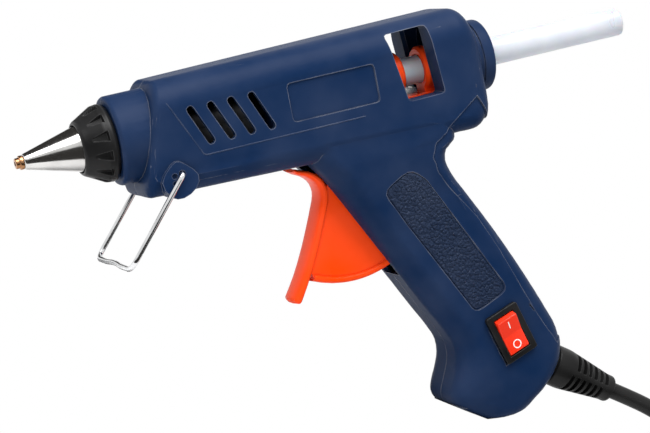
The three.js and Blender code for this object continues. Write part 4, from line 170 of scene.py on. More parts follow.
# the hide's second, finer creases: how much finer, and the share of the relief left to the first
HIDE_FINER = 1.7
HIDE_COARSE_SHARE = 0.6
HIDE_STRETCH = 1.15
HIDE_CREASE = 0.45
HIDE_CELLS = 256
HIDE_SEED = 11
HANDLE_FRONT_CORNER = 9
HANDLE_BACK_CORNER = 8
# front edge along and across, back edge along and across, half width
handleShares = (
    (-0.108, -0.07, 0.141, 1.107, 0.97), (-0.019, -0.071, 0.218, 0.982, 0.985),
    (0.024, -0.052, 0.224, 0.889, 0.975), (0.074, -0.046, 0.251, 0.829, 0.96),
    (0.122, -0.042, 0.295, 0.807, 0.94), (0.213, -0.038, 0.383, 0.811, 0.895),
    (0.322, -0.034, 0.505, 0.819, 0.862), (0.474, -0.029, 0.653, 0.814, 0.85),
    (0.617, -0.025, 0.788, 0.796, 0.85), (0.707, -0.02, 0.885, 0.776, 0.85),
    (0.765, -0.033, 0.955, 0.754, 0.86), (0.805, -0.083, 0.994, 0.715, 0.875),
    (0.842, -0.176, 1.034, 0.639, 0.89), (0.871, -0.268, 1.061, 0.548, 0.895),
    (0.888, -0.31, 1.085, 0.413, 0.887), (0.9, -0.326, 1.097, 0.252, 0.867),
    (0.909, -0.333, 1.101, 0.079, 0.831), (0.916, -0.335, 1.078, -0.062, 0.779),
)

# Barrel body
BODY_FRONT = 47
BODY_REAR = 187
BODY_HALF_WIDTH = 19.5
BODY_TOP = (19.7, 21.9)
BODY_DEPTH = (23, 27.9)
BODY_RAKE = math.radians(15)
BODY_RAKE_LENGTH = 34
BODY_TOP_CORNER = 11.5
BODY_BOTTOM_CORNER = 8
NOSE_ROUND = 3
CHIN_ROUND = 6
TAIL_ROUND = 9
TAIL_DRAW = (12, 6, 6)
noseTurns = (90, 60, 30, 0)
tailTurns = (0, 22, 42, 60, 75, 90)
rakeShares = (0.25, 0.5, 1)

# How the packed halves' flat facets are rounded
CORNER_STEPS = 3
FINE_STEPS = 12
ROW_LENGTH = 2.2
LONGEST_EDGE = 2.6
SPLIT_ROUNDS = 7
BLEND_REACH = 1.3
SKIN_REACH = (0.9, 2.4)

# Trigger: its lever's front line from the pivot, forward and down as shares of its length, its
# thickness along it, and the bead along the fan's lower edge
LEVER_LENGTH = 50
LEVER_THICKNESS = 3.3
LEVER_HALF_WIDTH = 6.5
LEVER_LONGEST_EDGE = 1.1
leverShares = (
    (0.36, -0.118), (0.315, -0.085), (0.25, -0.052), (0.192, 0.004), (0.17, 0.066), (0.173, 0.125),
    (0.204, 0.206), (0.28, 0.374), (0.362, 0.54), (0.456, 0.704), (0.55, 0.84),
)
leverThicknessShares = (0.45, 0.62, 0.8, 0.95, 1, 1, 1, 1, 1, 1.05, 1.15)
RIM_RADIUS = 42
RIM_BEAD = 3
RIM_REACH = math.radians(28)
# powers of the rounded sections in front and behind, and how far their rounding reaches
LEVER_POWERS = (2.3, 6)
RIM_POWERS = (2.6, 6)
LEVER_FADE = (1.1, 1.6)
RIM_FADE = (1.1, 1.5)

# Raised line on each flank at x, z
CREASE_RADIUS = 0.3
CREASE_RAISE = 0.16
CREASE_CORNER = 1.2
CREASE_SIDES = 12
creasePlaces = ((54.2, 13), (65.7, -11), (88, -11), (117, -11), (134, -11))

# Rocker switch, in its own frame: X down the handle, Y into it, Z across the rocker
switchShares = (0.841, 0.358)
SWITCH_SEAT = 16.9
SWITCH_TILT = math.radians(73.2)
ROCKER_TILT = math.radians(8)
ROCKER_RADIUS = 8
ROCKER_HALF_WIDTH = 4.6
ROCKER_HEIGHT = 3.2
ROCKER_VALLEY = 2.1
ROCKER_DEPTH = 2.5
ROCKER_EDGE = 0.5
MARK_REACH = 4.5
MARK_LENGTH = 3.2
MARK_STROKE = 0.42
MARK_RAISE = 0.05

# Strain relief, in its own frame: X out of the handle
RELIEF_X = 199.5
RELIEF_Z = -131.1
RELIEF_ANGLE = math.radians(36)
RELIEF_LENGTH = 30.3
RELIEF_RADIUS = 8.5
RELIEF_END_RADIUS = 5.6
RELIEF_PLAIN = 7
RELIEF_END_RING = 3
RELIEF_SLOTS = 6
RELIEF_SLOT_DEPTH = 2
RELIEF_NECK = 7
RELIEF_NECK_LENGTH = 8.3
RELIEF_FLANGE = 8.8
RELIEF_FLANGE_LENGTH = 2.2
RELIEF_SIDES = 192
# where a slot's soft edge begins and ends, along it as a share of the pitch, and round it
RELIEF_SLOT_EDGE = (0.2, 0.3)
RELIEF_BRIDGE_EDGE = (0.56, 0.66)

# Mains cord, in the row frame: the free stretch and its hank. The route's points are the distance
# from the relief, the share of the way over to the first run, and the share of the drop left.
CORD_RADIUS = 3.4
CORD_LIFT = 0.8
CORD_SIDES = 28
cordRoute = (
    (0, 0, 1), (9, 0, 1), (18, 0, 0.95), (25, 0.041, 0.8), (32, 0.163, 0.58), (39, 0.367, 0.36),
    (46, 0.633, 0.19), (53, 0.837, 0.07), (60, 0.959, 0.01), (67, 1, 0), (74, 1, 0),
)
HANK_RUN = 120
HANK_FOLD = 21
HANK_WAIST = 3.75
HANK_PITCH = 7.35
HANK_LAYERS = 4
HANK_STEPS = 28
drawnShare = 0.45
# distance from the last run, and the shares of the way over and up to the plug
tailRoute = (
    (0, 0, 0), (3, 0, 0), (14, 0.131, 0), (24.5, 0.5, 0), (32, 0.788, 0.125), (38, 0.931, 0.5),
    (44, 0.996, 0.875), (50, 1, 1), (57, 1, 1),
)
TIE_HALF_WIDTH = 4.5
TIE_THICKNESS = 0.9
TIE_CORNER = 4.2

# Mains plug, in its own frame: X out of the cord's end towards the pins
PLUG_SIDE = -6.6
PLUG_HEIGHT = 7
PLUG_TAIL_LENGTH = 12
PLUG_TAIL_RADIUS = 5
PLUG_NECK_LENGTH = 13
PLUG_LENGTH = 24
PLUG_HALF_WIDTH = 17.65
PLUG_HALF_THICKNESS = 6.85
PLUG_NECK_HALF_WIDTH = 6
PLUG_EDGE = 1.6
PLUG_ROUNDNESS = 3.2
PLUG_GROOVE = 0.45
PLUG_GROOVE_PITCH = 3
PLUG_TAIL_RIBS = 4
PLUG_SIDES = 120
PIN_RADIUS = 2
PIN_LENGTH = 19
PIN_ROOT = 5
PIN_SPACING = 18.6
PIN_SLEEVE = 10
PIN_BARE_RADIUS = 1.85

# Camera: its turn, rise and roll in the gun's frame, and the picture it fills
CAMERA_TURN = math.radians(21.086)
CAMERA_RISE = math.radians(7.953)
CAMERA_ROLL = math.radians(11.025)
CAMERA_DISTANCE = 850.3
CAMERA_SCALE = 2.5438
CAMERA_TARGET = (125, 0, -30)
TARGET_PIXEL = (338.63, 165.51)
PICTURE = (650, 433)
SENSOR = 36
FLOOR_REACH = 2.5

# Dark cards that only reflections see, in the row frame: behind the camera, on the table in front
# of the gun, and beyond the gun
CARD_COLOUR = (0.05, 0.048, 0.046, 1)
cardCorners = (
    ((-1.79, -0.43, -0.1), (1.01, -1.53, -0.1), (1.01, -1.53, 0.14), (-1.79, -0.43, 0.14)),
    ((-1.79, -0.43, 0.0005), (1.01, -1.53, 0.0005), (0.6, -0.035, 0.0005), (-0.6, -0.035, 0.0005)),
    ((-1.45, -0.3, 0.75), (-0.1, 1.6, 0.15), (-0.1, 1.3, 1.1), (-1.1, -0.25, 1.45)),
)

# Lamps and floor, in the row frame
KEY_PLACE = (-0.35, -0.5, 1.1)
KEY_SIZE = 0.9
FILL_PLACE = (-0.83, -0.45, 0.62)
FILL_SIZE = 0.6
LAMP_TARGET = (0, 0, 0.09)
FLOOR_COLOUR = (0.88, 0.88, 0.88, 1)
WHITE = (1, 1, 1, 1)


def screen_colour(red, green, blue):
    """Linear colour of three screen values from 0 to 255, by the sRGB curve, with alpha 1."""
    share = np.array((red, green, blue)) / 255
    low = share / 12.92
    high = ((share + 0.055) / 1.055) ** 2.4
    return (*np.where(share <= 0.04045, low, high).tolist(), 1.0)


def colour_setting(name, description, *values):
    """A colour property whose default is given as screen values."""
    default = screen_colour(*values)
    return bpy.props.FloatVectorProperty(
        name=name, description=description, subtype="COLOR", size=4, min=0, max=1, default=default
    )


def length_setting(name, description, default):
    """A length property in metres, whose default is given in millimetres."""
    return bpy.props.FloatProperty(
        name=name, description=description, default=MM * default, min=0, unit="LENGTH", precision=5
    )


def level_setting(name, description, default, **limits):
    """A light's level, from 0 up."""
    return bpy.props.FloatProperty(
        name=name, description=description, default=default, min=0, **limits
    )


class GlueGunSizes(bpy.types.PropertyGroup):
    """Sizes of the edges and of the grain in the finishes."""

    shell_edge: length_setting("Shell edge", "Rounding of the housing's moulded edges", 0.35)
    trigger_edge: length_setting("Trigger edge", "Rounding of the trigger's edges", 0.35)
    small_edge: length_setting("Small edge", "Rounding of the small moulded pieces' edges", 0.2)
    grain: length_setting("Grain", "Size of the fine grain of moulded plastic", 0.5)
    pebble: length_setting("Pebble", "Size of the fine creases of the grip panels", 0.6)
    # the reach of the edges' glossy wear and of their painted highlight
    wear_and_highlight_reach: length_setting("Wear and highlight reach", "How far an edge's wear and painted highlight band reaches", 0.5)


class GlueGunColours(bpy.types.PropertyGroup):
    """Colours of the gun's materials."""

    shell: colour_setting("Shell", "Dark blue of the housing", 9, 35, 69)
    grip: colour_setting("Grip", "Grey blue of the grip panels", 13, 35, 65)
    orange: colour_setting("Orange", "Trigger and feed slide", 245, 68, 0)
    black: colour_setting("Black", "Collar, switch frame and plug", 9, 9, 10)
    rubber: colour_setting("Rubber", "Cord and strain relief", 13, 13, 13)
    rocker: colour_setting("Rocker", "Red of the switch", 232, 46, 14)
    glue: colour_setting("Glue", "Cloudy glue stick", 208, 214, 224)
    steel: colour_setting("Steel", "Plated steel", 205, 204, 202)
    chrome: colour_setting("Wire", "Polished stand", 222, 223, 224)
    brass: colour_setting("Brass", "Tip and terminals", 168, 124, 88)
    aluminium: colour_setting("Aluminium", "Cast melt chamber", 84, 84, 86)


class GlueGunStudio(bpy.types.PropertyGroup):
    """Levels of the studio light."""

    sky: level_setting("Sky", "Strength of the even light", 0.38)
    key: level_setting("Key", "Power of the large lamp above", 21, unit="POWER")
    fill: level_setting("Fill", "Power of the lamp beside the camera", 4, unit="POWER")
    shadow: level_setting("Shadow", "Share of the floor's shading that is seen", 0.55, max=1)


# Places and curves


def row(points):
    """Points of the gun's frame, in millimetres, as points of the row frame, in metres:
    the stick's zero point plus each coordinate along its axis."""
    return STICK_ZERO + MM * (np.asarray(points, float) @ GUN_AXES)


def turned_about_y(points, angle, place):
    """Points of a piece's own frame in the gun's frame: turned about Y by the angle and moved."""
    c, s = math.cos(angle), math.sin(angle)
    turn = np.array(((c, 0, -s), (0, 1, 0), (s, 0, c)))
    return np.asarray(points, float) @ turn + np.asarray(place)


def on_handle(shares):
    """Point x, z of the gun's frame at shares along and across the handle."""
    along, across = (np.asarray(shares, float) * (HANDLE_LENGTH, HANDLE_DEPTH)).T
    c, s = math.cos(HANDLE_SLOPE), math.sin(HANDLE_SLOPE)
    x = HANDLE_X + along * c + across * s
    return np.stack((x, HANDLE_Z - along * s + across * c), axis=-1)


def smooth_step(value, low, high):
    """0 below low, 1 above high, and the cubic 3t2 - 2t3 between them."""
    t = np.clip((value - low) / (high - low), 0, 1)
    return t * t * (3 - 2 * t)


def softened(corners, radius, steps=5):
    """A polyline with its inner corners rounded: each becomes a short parabola whose ends lie
    radius from the corner along its two legs, or under half a leg where the leg is short."""
    corners = np.asarray(corners, float)
    radius = np.broadcast_to(np.asarray(radius, float), len(corners))[1:-1, None]
    before = corners[:-2] - corners[1:-1]
    after = corners[2:] - corners[1:-1]
    lengths = [np.linalg.norm(leg, axis=1, keepdims=True) for leg in (before, after)]
    reach = [np.minimum(radius, 0.49 * length) / length for length in lengths]
    start = (corners[1:-1] + before * reach[0])[:, None]
    end = (corners[1:-1] + after * reach[1])[:, None]
    t = np.linspace(0, 1, steps)[None, :, None]
    middle = corners[1:-1][:, None]
    arcs = (1 - t) ** 2 * start + 2 * t * (1 - t) * middle + t**2 * end
    return np.vstack((corners[:1], arcs.reshape(-1, corners.shape[1]), corners[-1:]))


def refined(points, step):
    """A polyline with points added along its longer legs, by linear interpolation."""
    lengths = np.linalg.norm(np.diff(points, axis=0), axis=1)
    along = np.concatenate(([0], np.cumsum(lengths)))
    counts = np.maximum(1, np.ceil(lengths / step).astype(int))
    legs = zip(along, along[1:], counts)
    wanted = np.concatenate([np.linspace(a, b, n, endpoint=False) for a, b, n in legs])
    wanted = np.append(wanted, along[-1])
    return np.stack([np.interp(wanted, along, column) for column in points.T], axis=-1)


def turned(profile, sides=96):
    """A profile of x and radius turned about the X axis: y is r sin a and z is r cos a."""
    x, radius = np.asarray(profile, float).T
    return about_x(x, radius[:, None], np.arange(sides) * TURN / sides)


def about_x(x, radius, angle):
    """Points at each x and angle about the X axis, at a radius that may differ from one angle to
    the next."""
    sideways, upward = radius * np.sin(angle), radius * np.cos(angle)
    return np.stack((x[:, None] + 0 * sideways, sideways, upward), -1)


def tube_along(path, radius, sides, reference):
    """A round tube along a path: a circle in the plane of two unit vectors square to the path,
    the first of which is also square to the reference direction. Both ends are closed."""
    path = np.asarray(path, float)
    tangent = np.gradient(path, axis=0)
    tangent /= np.linalg.norm(tangent, axis=1, keepdims=True)
    side = np.cross(tangent, reference)
    side /= np.linalg.norm(side, axis=1, keepdims=True)
    up = np.cross(side, tangent)
    angles = np.arange(sides) * TURN / sides
    circle = np.cos(angles)[:, None] * side[:, None] + np.sin(angles)[:, None] * up[:, None]
    rings = path[:, None] + radius * circle
    middle = np.ones((1, sides, 1))
    return np.vstack((path[:1, None] * middle, rings, path[-1:, None] * middle))


def spline_through(points, per_leg):
    """Catmull-Rom curve: on each leg the cubic whose end slopes are half the chords of the
    neighbouring points. The first and last points are mirrored past the ends."""
    points = np.asarray(points, float)
    padded = np.vstack((2 * points[:1] - points[1:2], points, 2 * points[-1:] - points[-2:-1]))
    a, b, c, d = (padded[i : len(points) - 1 + i, None] for i in range(4))
    t = (np.arange(per_leg) / per_leg)[None, :, None]
    legs = 0.5 * (
        2 * b + (c - a) * t + (2 * a - 5 * b + 4 * c - d) * t**2 + (3 * b - a - 3 * c + d) * t**3
    )
    return np.vstack((legs.reshape(-1, points.shape[1]), points[-1:]))


# Meshes


def new_object(name, mesh):
    """Puts a mesh into the scene as an object at the origin."""
    made = bpy.data.objects.new(name, mesh)
    bpy.context.scene.collection.objects.link(made)
    return made


def grid_faces(rows, columns, first, ring_closed, rows_closed):
    """Corner numbers of the quads between neighbouring rows and columns of a grid."""
    index = first + np.arange(rows * columns).reshape(rows, columns)
    if ring_closed:
        index = np.hstack((index, index[:, :1]))
    if rows_closed:
        index = np.vstack((index, index[:1]))
    quads = np.stack((index[:-1, :-1], index[1:, :-1], index[1:, 1:], index[:-1, 1:]), axis=-1)
    return quads.reshape(-1, 4)


def surface(name, *grids, ring_closed=True, rows_closed=False, sharp=40):
    """One object from grids of points in the row frame. Quads join neighbouring rows and columns,
    doubled points are merged, which closes the poles, and the faces are turned outward."""
    faces = []
    first = 0
    for grid in grids:
        faces.append(grid_faces(*grid.shape[:2], first, ring_closed, rows_closed))
        first += grid.shape[0] * grid.shape[1]
    points = np.vstack([grid.reshape(-1, 3) for grid in grids])
    mesh = bpy.data.meshes.new(name)
    mesh.from_pydata(points.tolist(), [], np.vstack(faces).tolist())
    tidy_mesh(mesh, 1e-7)
    return finish_mesh(new_object(name, mesh), sharp)


def tidy_mesh(mesh, distance, flat_angle=0.0, outward=True):
    """Merges doubled points, joins flat neighbouring faces if an angle is given, and can turn
    all faces outward."""
    work = bmesh.new()
    work.from_mesh(mesh)
    bmesh.ops.remove_doubles(work, verts=work.verts, dist=distance)
    bmesh.ops.dissolve_degenerate(work, edges=work.edges, dist=distance)
    if flat_angle:
        bmesh.ops.dissolve_limit(work, angle_limit=flat_angle, verts=work.verts, edges=work.edges)
    if outward:
        bmesh.ops.recalc_face_normals(work, faces=work.faces)
    work.to_mesh(mesh)
    work.free()


def points_of(mesh):
    """A mesh's vertices as an array."""
    places = np.zeros(len(mesh.vertices) * 3)
    mesh.vertices.foreach_get("co", places)
    return places.reshape(-1, 3)


def split_mesh(mesh, longest):
    """Cuts a mesh into triangles and halves its long edges, round after round."""
    work = bmesh.new()
    work.from_mesh(mesh)
    for _ in range(SPLIT_ROUNDS):
        bmesh.ops.triangulate(work, faces=work.faces)
        work.to_mesh(mesh)
        ends = np.zeros(len(mesh.edges) * 2, np.int32)
        mesh.edges.foreach_get("vertices", ends)
        places = points_of(mesh)[ends.reshape(-1, 2)]
        long = np.flatnonzero(np.linalg.norm(places[:, 1] - places[:, 0], axis=1) > longest)
        if not len(long):
            break
        work.edges.ensure_lookup_table()
        bmesh.ops.subdivide_edges(work, edges=[work.edges[i] for i in long], cuts=1)
    bmesh.ops.triangulate(work, faces=work.faces)
    work.to_mesh(mesh)
    work.free()


def finish_mesh(made, sharp):
    """Shades a piece smooth, apart from edges sharper than the angle in degrees."""
    mesh = made.data
    mesh.polygons.foreach_set("use_smooth", np.ones(len(mesh.polygons), bool))
    mesh.set_sharp_from_angle(angle=math.radians(sharp))
    return made


def smooth_copy(node, name, edge, sharp=38, rounding=None, longest=LONGEST_EDGE):
    """A merged copy of a CAD node with its flat faces joined and its edges rounded. A rounding
    turns the copy's points in the gun's frame into how far each one moves."""
    mesh = frame["nodes"][node].data.copy()
    mesh.name = name
    mesh.materials.clear()
    tidy_mesh(mesh, 2e-6, math.radians(0.4), outward=False)
    if rounding:
        split_mesh(mesh, MM * longest)
        places = points_of(mesh)
        moved = places + MM * rounding((places - STICK_ZERO) @ GUN_AXES.T / MM) @ GUN_AXES
        mesh.vertices.foreach_set("co", moved.ravel())
        tidy_mesh(mesh, 2e-6, math.radians(0.4), outward=False)
    made = finish_mesh(new_object(name, mesh), sharp)
    bevel = made.modifiers.new("Moulded edges", "BEVEL")
    bevel.width = edge
    bevel.segments = 2
    bevel.limit_method = "ANGLE"
    bevel.angle_limit = math.radians(sharp)
    bevel.harden_normals = False
    normals = made.modifiers.new("Even shading", "WEIGHTED_NORMAL")
    normals.keep_sharp = True
    return made


def shade_node(node, material, sharp=35):
    """Gives a CAD node its material and shades its rounds smooth: its loose triangles are welded
    and then split again at edges sharper than the angle in degrees."""
    made = frame["nodes"][node]
    dress(made, material)
    made.data.polygons.foreach_set("use_smooth", np.ones(len(made.data.polygons), bool))
    weld = made.modifiers.new("Weld", "WELD")
    weld.merge_threshold = 2e-6
    split = made.modifiers.new("Crisp edges", "EDGE_SPLIT")
    split.split_angle = math.radians(sharp)
    return made


def dress(made, *materials):
    """Replaces a piece's materials."""
    made.data.materials.clear()
    for material in materials:
        made.data.materials.append(material)
    return made


def stand_for(made, body, slot, *nodes):
    """Puts a piece on a body with the record's material slot, in place of any CAD nodes."""
    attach(made, body)
    if nodes:
        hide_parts(*nodes)


# Shader groups


def add(tree, kind, inputs=None, **settings):
    """Adds a shader node, sets its properties, and fills its inputs with values or sockets."""
    made = tree.nodes.new(kind)
    for key, value in settings.items():
        setattr(made, key, value)
    for key, value in (inputs or {}).items():
        if isinstance(value, bpy.types.NodeSocket):
            tree.links.new(value, made.inputs[key])
        else:
            made.inputs[key].default_value = value
    return made


def math_node(tree, operation, *values, clamp=False):
    """A Math node on numbers or sockets, as its result socket."""
    inputs = dict(enumerate(values))
    return add(tree, "ShaderNodeMath", inputs, operation=operation, use_clamp=clamp).outputs[0]


def spread(tree, value, low, high, start=0.0, end=1.0):
    """The value carried from the range low to high onto the range start to end."""
    inputs = {"Value": value, "From Min": low, "From Max": high, "To Min": start, "To Max": end}
    return add(tree, "ShaderNodeMapRange", inputs).outputs[0]


def mixed(tree, share, first, second):
    """Two colours mixed by a share, as a socket."""
    node = add(tree, "ShaderNodeMix", data_type="RGBA")
    for number, value in ((0, share), (6, first), (7, second)):
        if isinstance(value, bpy.types.NodeSocket):
            tree.links.new(value, node.inputs[number])
        else:
            node.inputs[number].default_value = value
    return node.outputs[2]


SOCKETS = {"value": "NodeSocketFloat", "vector": "NodeSocketVector", "colour": "NodeSocketColor"}


def shader_group(name, inputs, outputs, build):
    """A node group, built once. build gets the tree and the input sockets by name, and returns
    the output sockets by name."""
    tree = bpy.data.node_groups.get(name)
    if tree:
        return tree
    tree = bpy.data.node_groups.new(name, "ShaderNodeTree")
    for key, kind in inputs.items():
        tree.interface.new_socket(name=key, in_out="INPUT", socket_type=SOCKETS[kind])
    for key, kind in outputs.items():
        tree.interface.new_socket(name=key, in_out="OUTPUT", socket_type=SOCKETS[kind])
    given = tree.nodes.new("NodeGroupInput").outputs
    result = tree.nodes.new("NodeGroupOutput").inputs
    for key, socket in build(tree, given).items():
        tree.links.new(socket, result[key])
    return tree


def build_grain(tree, given):
    """Fine moulding grain over slow clouds: the clouds mix the two colours and the two
    roughnesses, and the grain gives the height."""
    clouds = add(tree, "ShaderNodeTexNoise", {"Vector": given["Vector"], "Scale": 45, "Detail": 3})
    inputs = {"Vector": given["Vector"], "Scale": given["Fineness"], "Detail": 2, "Roughness": 0.6}
    grain = add(tree, "ShaderNodeTexNoise", inputs)
    share = spread(tree, clouds.outputs[0], 0.3, 0.7)
    low, high = given["Low roughness"], given["High roughness"]
    clouded = math_node(tree, "MULTIPLY", share, 0.7)
    both = math_node(tree, "MULTIPLY_ADD", grain.outputs[0], 0.3, clouded)
    return {
        "Colour": mixed(tree, share, given["Dark"], given["Light"]),
        "Roughness": spread(tree, both, 0.0, 1.0, low, high),
        "Height": grain.outputs[0],
    }


def grain_group():
    """Moulding grain of plastic and rubber."""
    inputs = {
        "Vector": "vector", "Fineness": "value", "Dark": "colour", "Light": "colour",
        "Low roughness": "value", "High roughness": "value",
    }
    outputs = {"Colour": "colour", "Roughness": "value", "Height": "value"}
    return shader_group("Moulding grain", inputs, outputs, build_grain)


def build_edges(tree, given):
    """Mask of handled edges: one minus the dot product of the true normal and the normal that a
    rounding of the given reach would have, broken up by noise."""
    rounded = add(tree, "ShaderNodeBevel", {"Radius": given["Reach"]}, samples=6)
    true = add(tree, "ShaderNodeNewGeometry")
    inputs = {0: rounded.outputs[0], 1: true.outputs["Normal"]}
    dot = add(tree, "ShaderNodeVectorMath", inputs, operation="DOT_PRODUCT").outputs["Value"]
    edge = math_node(tree, "MULTIPLY", math_node(tree, "SUBTRACT", 1.0, dot), 14.0, clamp=True)
    noise = add(tree, "ShaderNodeTexNoise", {"Vector": given["Vector"], "Scale": 160, "Detail": 4})
    broken = math_node(tree, "MULTIPLY", edge, spread(tree, noise.outputs[0], 0.35, 0.6, 0.4, 1.0))
    return {"Mask": math_node(tree, "MULTIPLY", broken, given["Amount"], clamp=True)}


def edge_group():
    """Polish along the handled edges."""
    inputs = {"Vector": "vector", "Reach": "value", "Amount": "value"}
    return shader_group("Handled edges", inputs, {"Mask": "value"}, build_edges)


def build_pebbles(tree, given):
    """Pebbled hide: Voronoi cells, bent by noise, raised in their middles and sunk along their
    borders."""
    inputs = {"Vector": given["Vector"], "Scale": given["Fineness"], "Detail": 2}
    bend = add(tree, "ShaderNodeTexNoise", inputs).outputs[1]
    bend = add(tree, "ShaderNodeVectorMath", {0: bend, "Scale": 0.0006}, operation="SCALE")
    inputs = {0: given["Vector"], 1: bend.outputs[0]}
    moved = add(tree, "ShaderNodeVectorMath", inputs, operation="ADD")
    inputs = {"Vector": moved.outputs[0], "Scale": given["Fineness"]}
    cells = add(tree, "ShaderNodeTexVoronoi", inputs, feature="DISTANCE_TO_EDGE")
    height = spread(tree, cells.outputs["Distance"], 0.0, 0.28)
    return {"Height": height, "Mask": math_node(tree, "SUBTRACT", 1.0, height)}


def pebble_group():
    """Pebbled hide of the grip panels."""
    inputs = {"Vector": "vector", "Fineness": "value"}
    return shader_group("Pebbled hide", inputs, {"Height": "value", "Mask": "value"}, build_pebbles)


def build_lathe(tree, given):
    """Lathe marks: noise that depends on the place along the turning axis alone, with slow
    clouds that dull the metal here and there."""
    inputs = {0: given["Vector"], 1: given["Axis"]}
    along = add(tree, "ShaderNodeVectorMath", inputs, operation="DOT_PRODUCT")
    inputs = {"W": along.outputs["Value"], "Scale": given["Fineness"], "Detail": 3}
    marks = add(tree, "ShaderNodeTexNoise", inputs, noise_dimensions="1D")
    clouds = add(tree, "ShaderNodeTexNoise", {"Vector": given["Vector"], "Scale": 120, "Detail": 5})
    dull = spread(tree, clouds.outputs[0], 0.4, 0.75)
    return {
        "Height": marks.outputs[0],
        "Roughness": spread(tree, dull, 0.0, 1.0, given["Low roughness"], given["High roughness"]),
        "Mask": dull,
    }


def lathe_group():
    """Lathe marks of turned and drawn metal."""
    inputs = {
        "Vector": "vector", "Axis": "vector", "Fineness": "value",
        "Low roughness": "value", "High roughness": "value",
    }
    outputs = {"Height": "value", "Roughness": "value", "Mask": "value"}
    return shader_group("Lathe marks", inputs, outputs, build_lathe)


class Look:
    """A material being made: its node tree, its Principled shader and the Object coordinates."""

    def __init__(self, name, **constants):
        self.material = bpy.data.materials.new(name)
        self.material.use_nodes = True
        self.tree = self.material.node_tree
        self.shader = self.tree.nodes["Principled BSDF"]
        self.place = add(self.tree, "ShaderNodeTexCoord").outputs["Object"]
        for key, value in constants.items():
            name = key.replace("_", " ").title().replace("Ior", "IOR")
            self.shader.inputs[name].default_value = value

    def group(self, tree, **inputs):
        """Places a shader group with its values, and returns its outputs."""
        made = add(self.tree, "ShaderNodeGroup", node_tree=tree)
        self.tree.links.new(self.place, made.inputs["Vector"])
        for key, value in inputs.items():
            socket = made.inputs[key.replace("_", " ").capitalize()]
            if isinstance(value, bpy.types.NodeSocket):
                self.tree.links.new(value, socket)
            else:
                socket.default_value = value
        return made.outputs

    def feed(self, key, value):
        """Links a socket to an input of the shader."""
        self.tree.links.new(value, self.shader.inputs[key])

    def bump(self, height, distance):
        """Adds a bump of the height, distance in millimetres, and links it to the shader."""
        inputs = {"Height": height, "Distance": MM * distance, "Strength": 1.0}
        self.feed("Normal", add(self.tree, "ShaderNodeBump", inputs).outputs[0])


def lighter(colour, amount):
    """A colour carried a share of the way to white."""
    return (*(np.array(colour[:3]) * (1 - amount) + amount).tolist(), 1.0)


def darker(colour, amount):
    """A colour carried a share of the way to black."""
    return (*(np.array(colour[:3]) * (1 - amount)).tolist(), 1.0)


def moulded(name, colour, low, high, bump, polish, specular=0.5):
    """Moulded plastic or rubber: grain, slow clouds of colour and gloss, and polished edges."""
    sizes = bpy.context.scene.glue_gun_sizes
    look = Look(name, specular_ior_level=specular)
    grain = look.group(
        grain_group(), fineness=1 / sizes.grain, dark=darker(colour, 0.1),
        light=lighter(colour, 0.012), low_roughness=low, high_roughness=high,
    )
    edges = look.group(edge_group(), reach=sizes.wear_and_highlight_reach, amount=polish)
    # painted highlight: edges are carried towards white, as if their rounds caught the light; the
    # same mask makes them glossier
    highlight_colour = lighter(colour, 0.12)
    look.feed("Base Color", mixed(look.tree, edges["Mask"], grain["Colour"], highlight_colour))
    duller = math_node(look.tree, "MULTIPLY", edges["Mask"], -0.12)
    look.feed("Roughness", math_node(look.tree, "ADD", grain["Roughness"], duller))
    look.bump(grain["Height"], bump)
    return look.material


def metal(name, colour, low, high, bump=0.01, fineness=2500, axis=REARWARD):
    """Turned, drawn or cast metal: lathe marks along the axis, and slow dull clouds."""
    look = Look(name, metallic=1.0)
    marks = look.group(
        lathe_group(), axis=tuple(axis), fineness=fineness, low_roughness=low, high_roughness=high
    )
    look.feed("Base Color", mixed(look.tree, marks["Mask"], tuple(colour), darker(colour, 0.25)))
    look.feed("Roughness", marks["Roughness"])
    look.bump(marks["Height"], bump)
    return look.material


def pebbled_grip(name, colour):
    """Grip panel: pebbled hide over the moulding grain, duller in the valleys."""
    sizes = bpy.context.scene.glue_gun_sizes
    look = Look(name, specular_ior_level=0.25)
    hide = look.group(pebble_group(), fineness=1 / sizes.pebble)
    grain = look.group(
        grain_group(), fineness=1 / sizes.grain, dark=darker(colour, 0.15),
        light=lighter(colour, 0.02), low_roughness=0.36, high_roughness=0.52,
    )
    # painted shade: the hide's valleys are carried towards a darker blue
    valley = mixed(look.tree, hide["Mask"], grain["Colour"], darker(colour, 0.3))
    look.feed("Base Color", valley)
    look.feed("Roughness", spread(look.tree, hide["Mask"], 0.0, 1.0, grain["Roughness"], 0.8))
    look.bump(hide["Height"], 0.05)
    return look.material


def cloudy_glue(name, colour):
    """Glue stick: cloudy, slightly see-through, with faint extrusion lines along it."""
    look = Look(
        name, transmission_weight=0.35, ior=1.48, subsurface_weight=0.35, subsurface_scale=0.004
    )
    grain = look.group(
        grain_group(), fineness=180, dark=darker(colour, 0.06), light=lighter(colour, 0.3),
        low_roughness=0.22, high_roughness=0.38,
    )
    look.feed("Base Color", grain["Colour"])
    look.feed("Roughness", grain["Roughness"])
    look.bump(grain["Height"], 0.05)
    return look.material


def finish(key):
    """The material of that name, made when it is first asked for."""
    if key not in bpy.data.materials or "made_for" not in bpy.data.materials[key]:
        work, colour, *values = FINISHES[key]
        if isinstance(colour, str):
            colour = getattr(bpy.context.scene.glue_gun_colours, colour)
        material = work(key, colour, *values)
        material.name = key
        material["made_for"] = "hot glue gun"
        return material
    return bpy.data.materials[key]
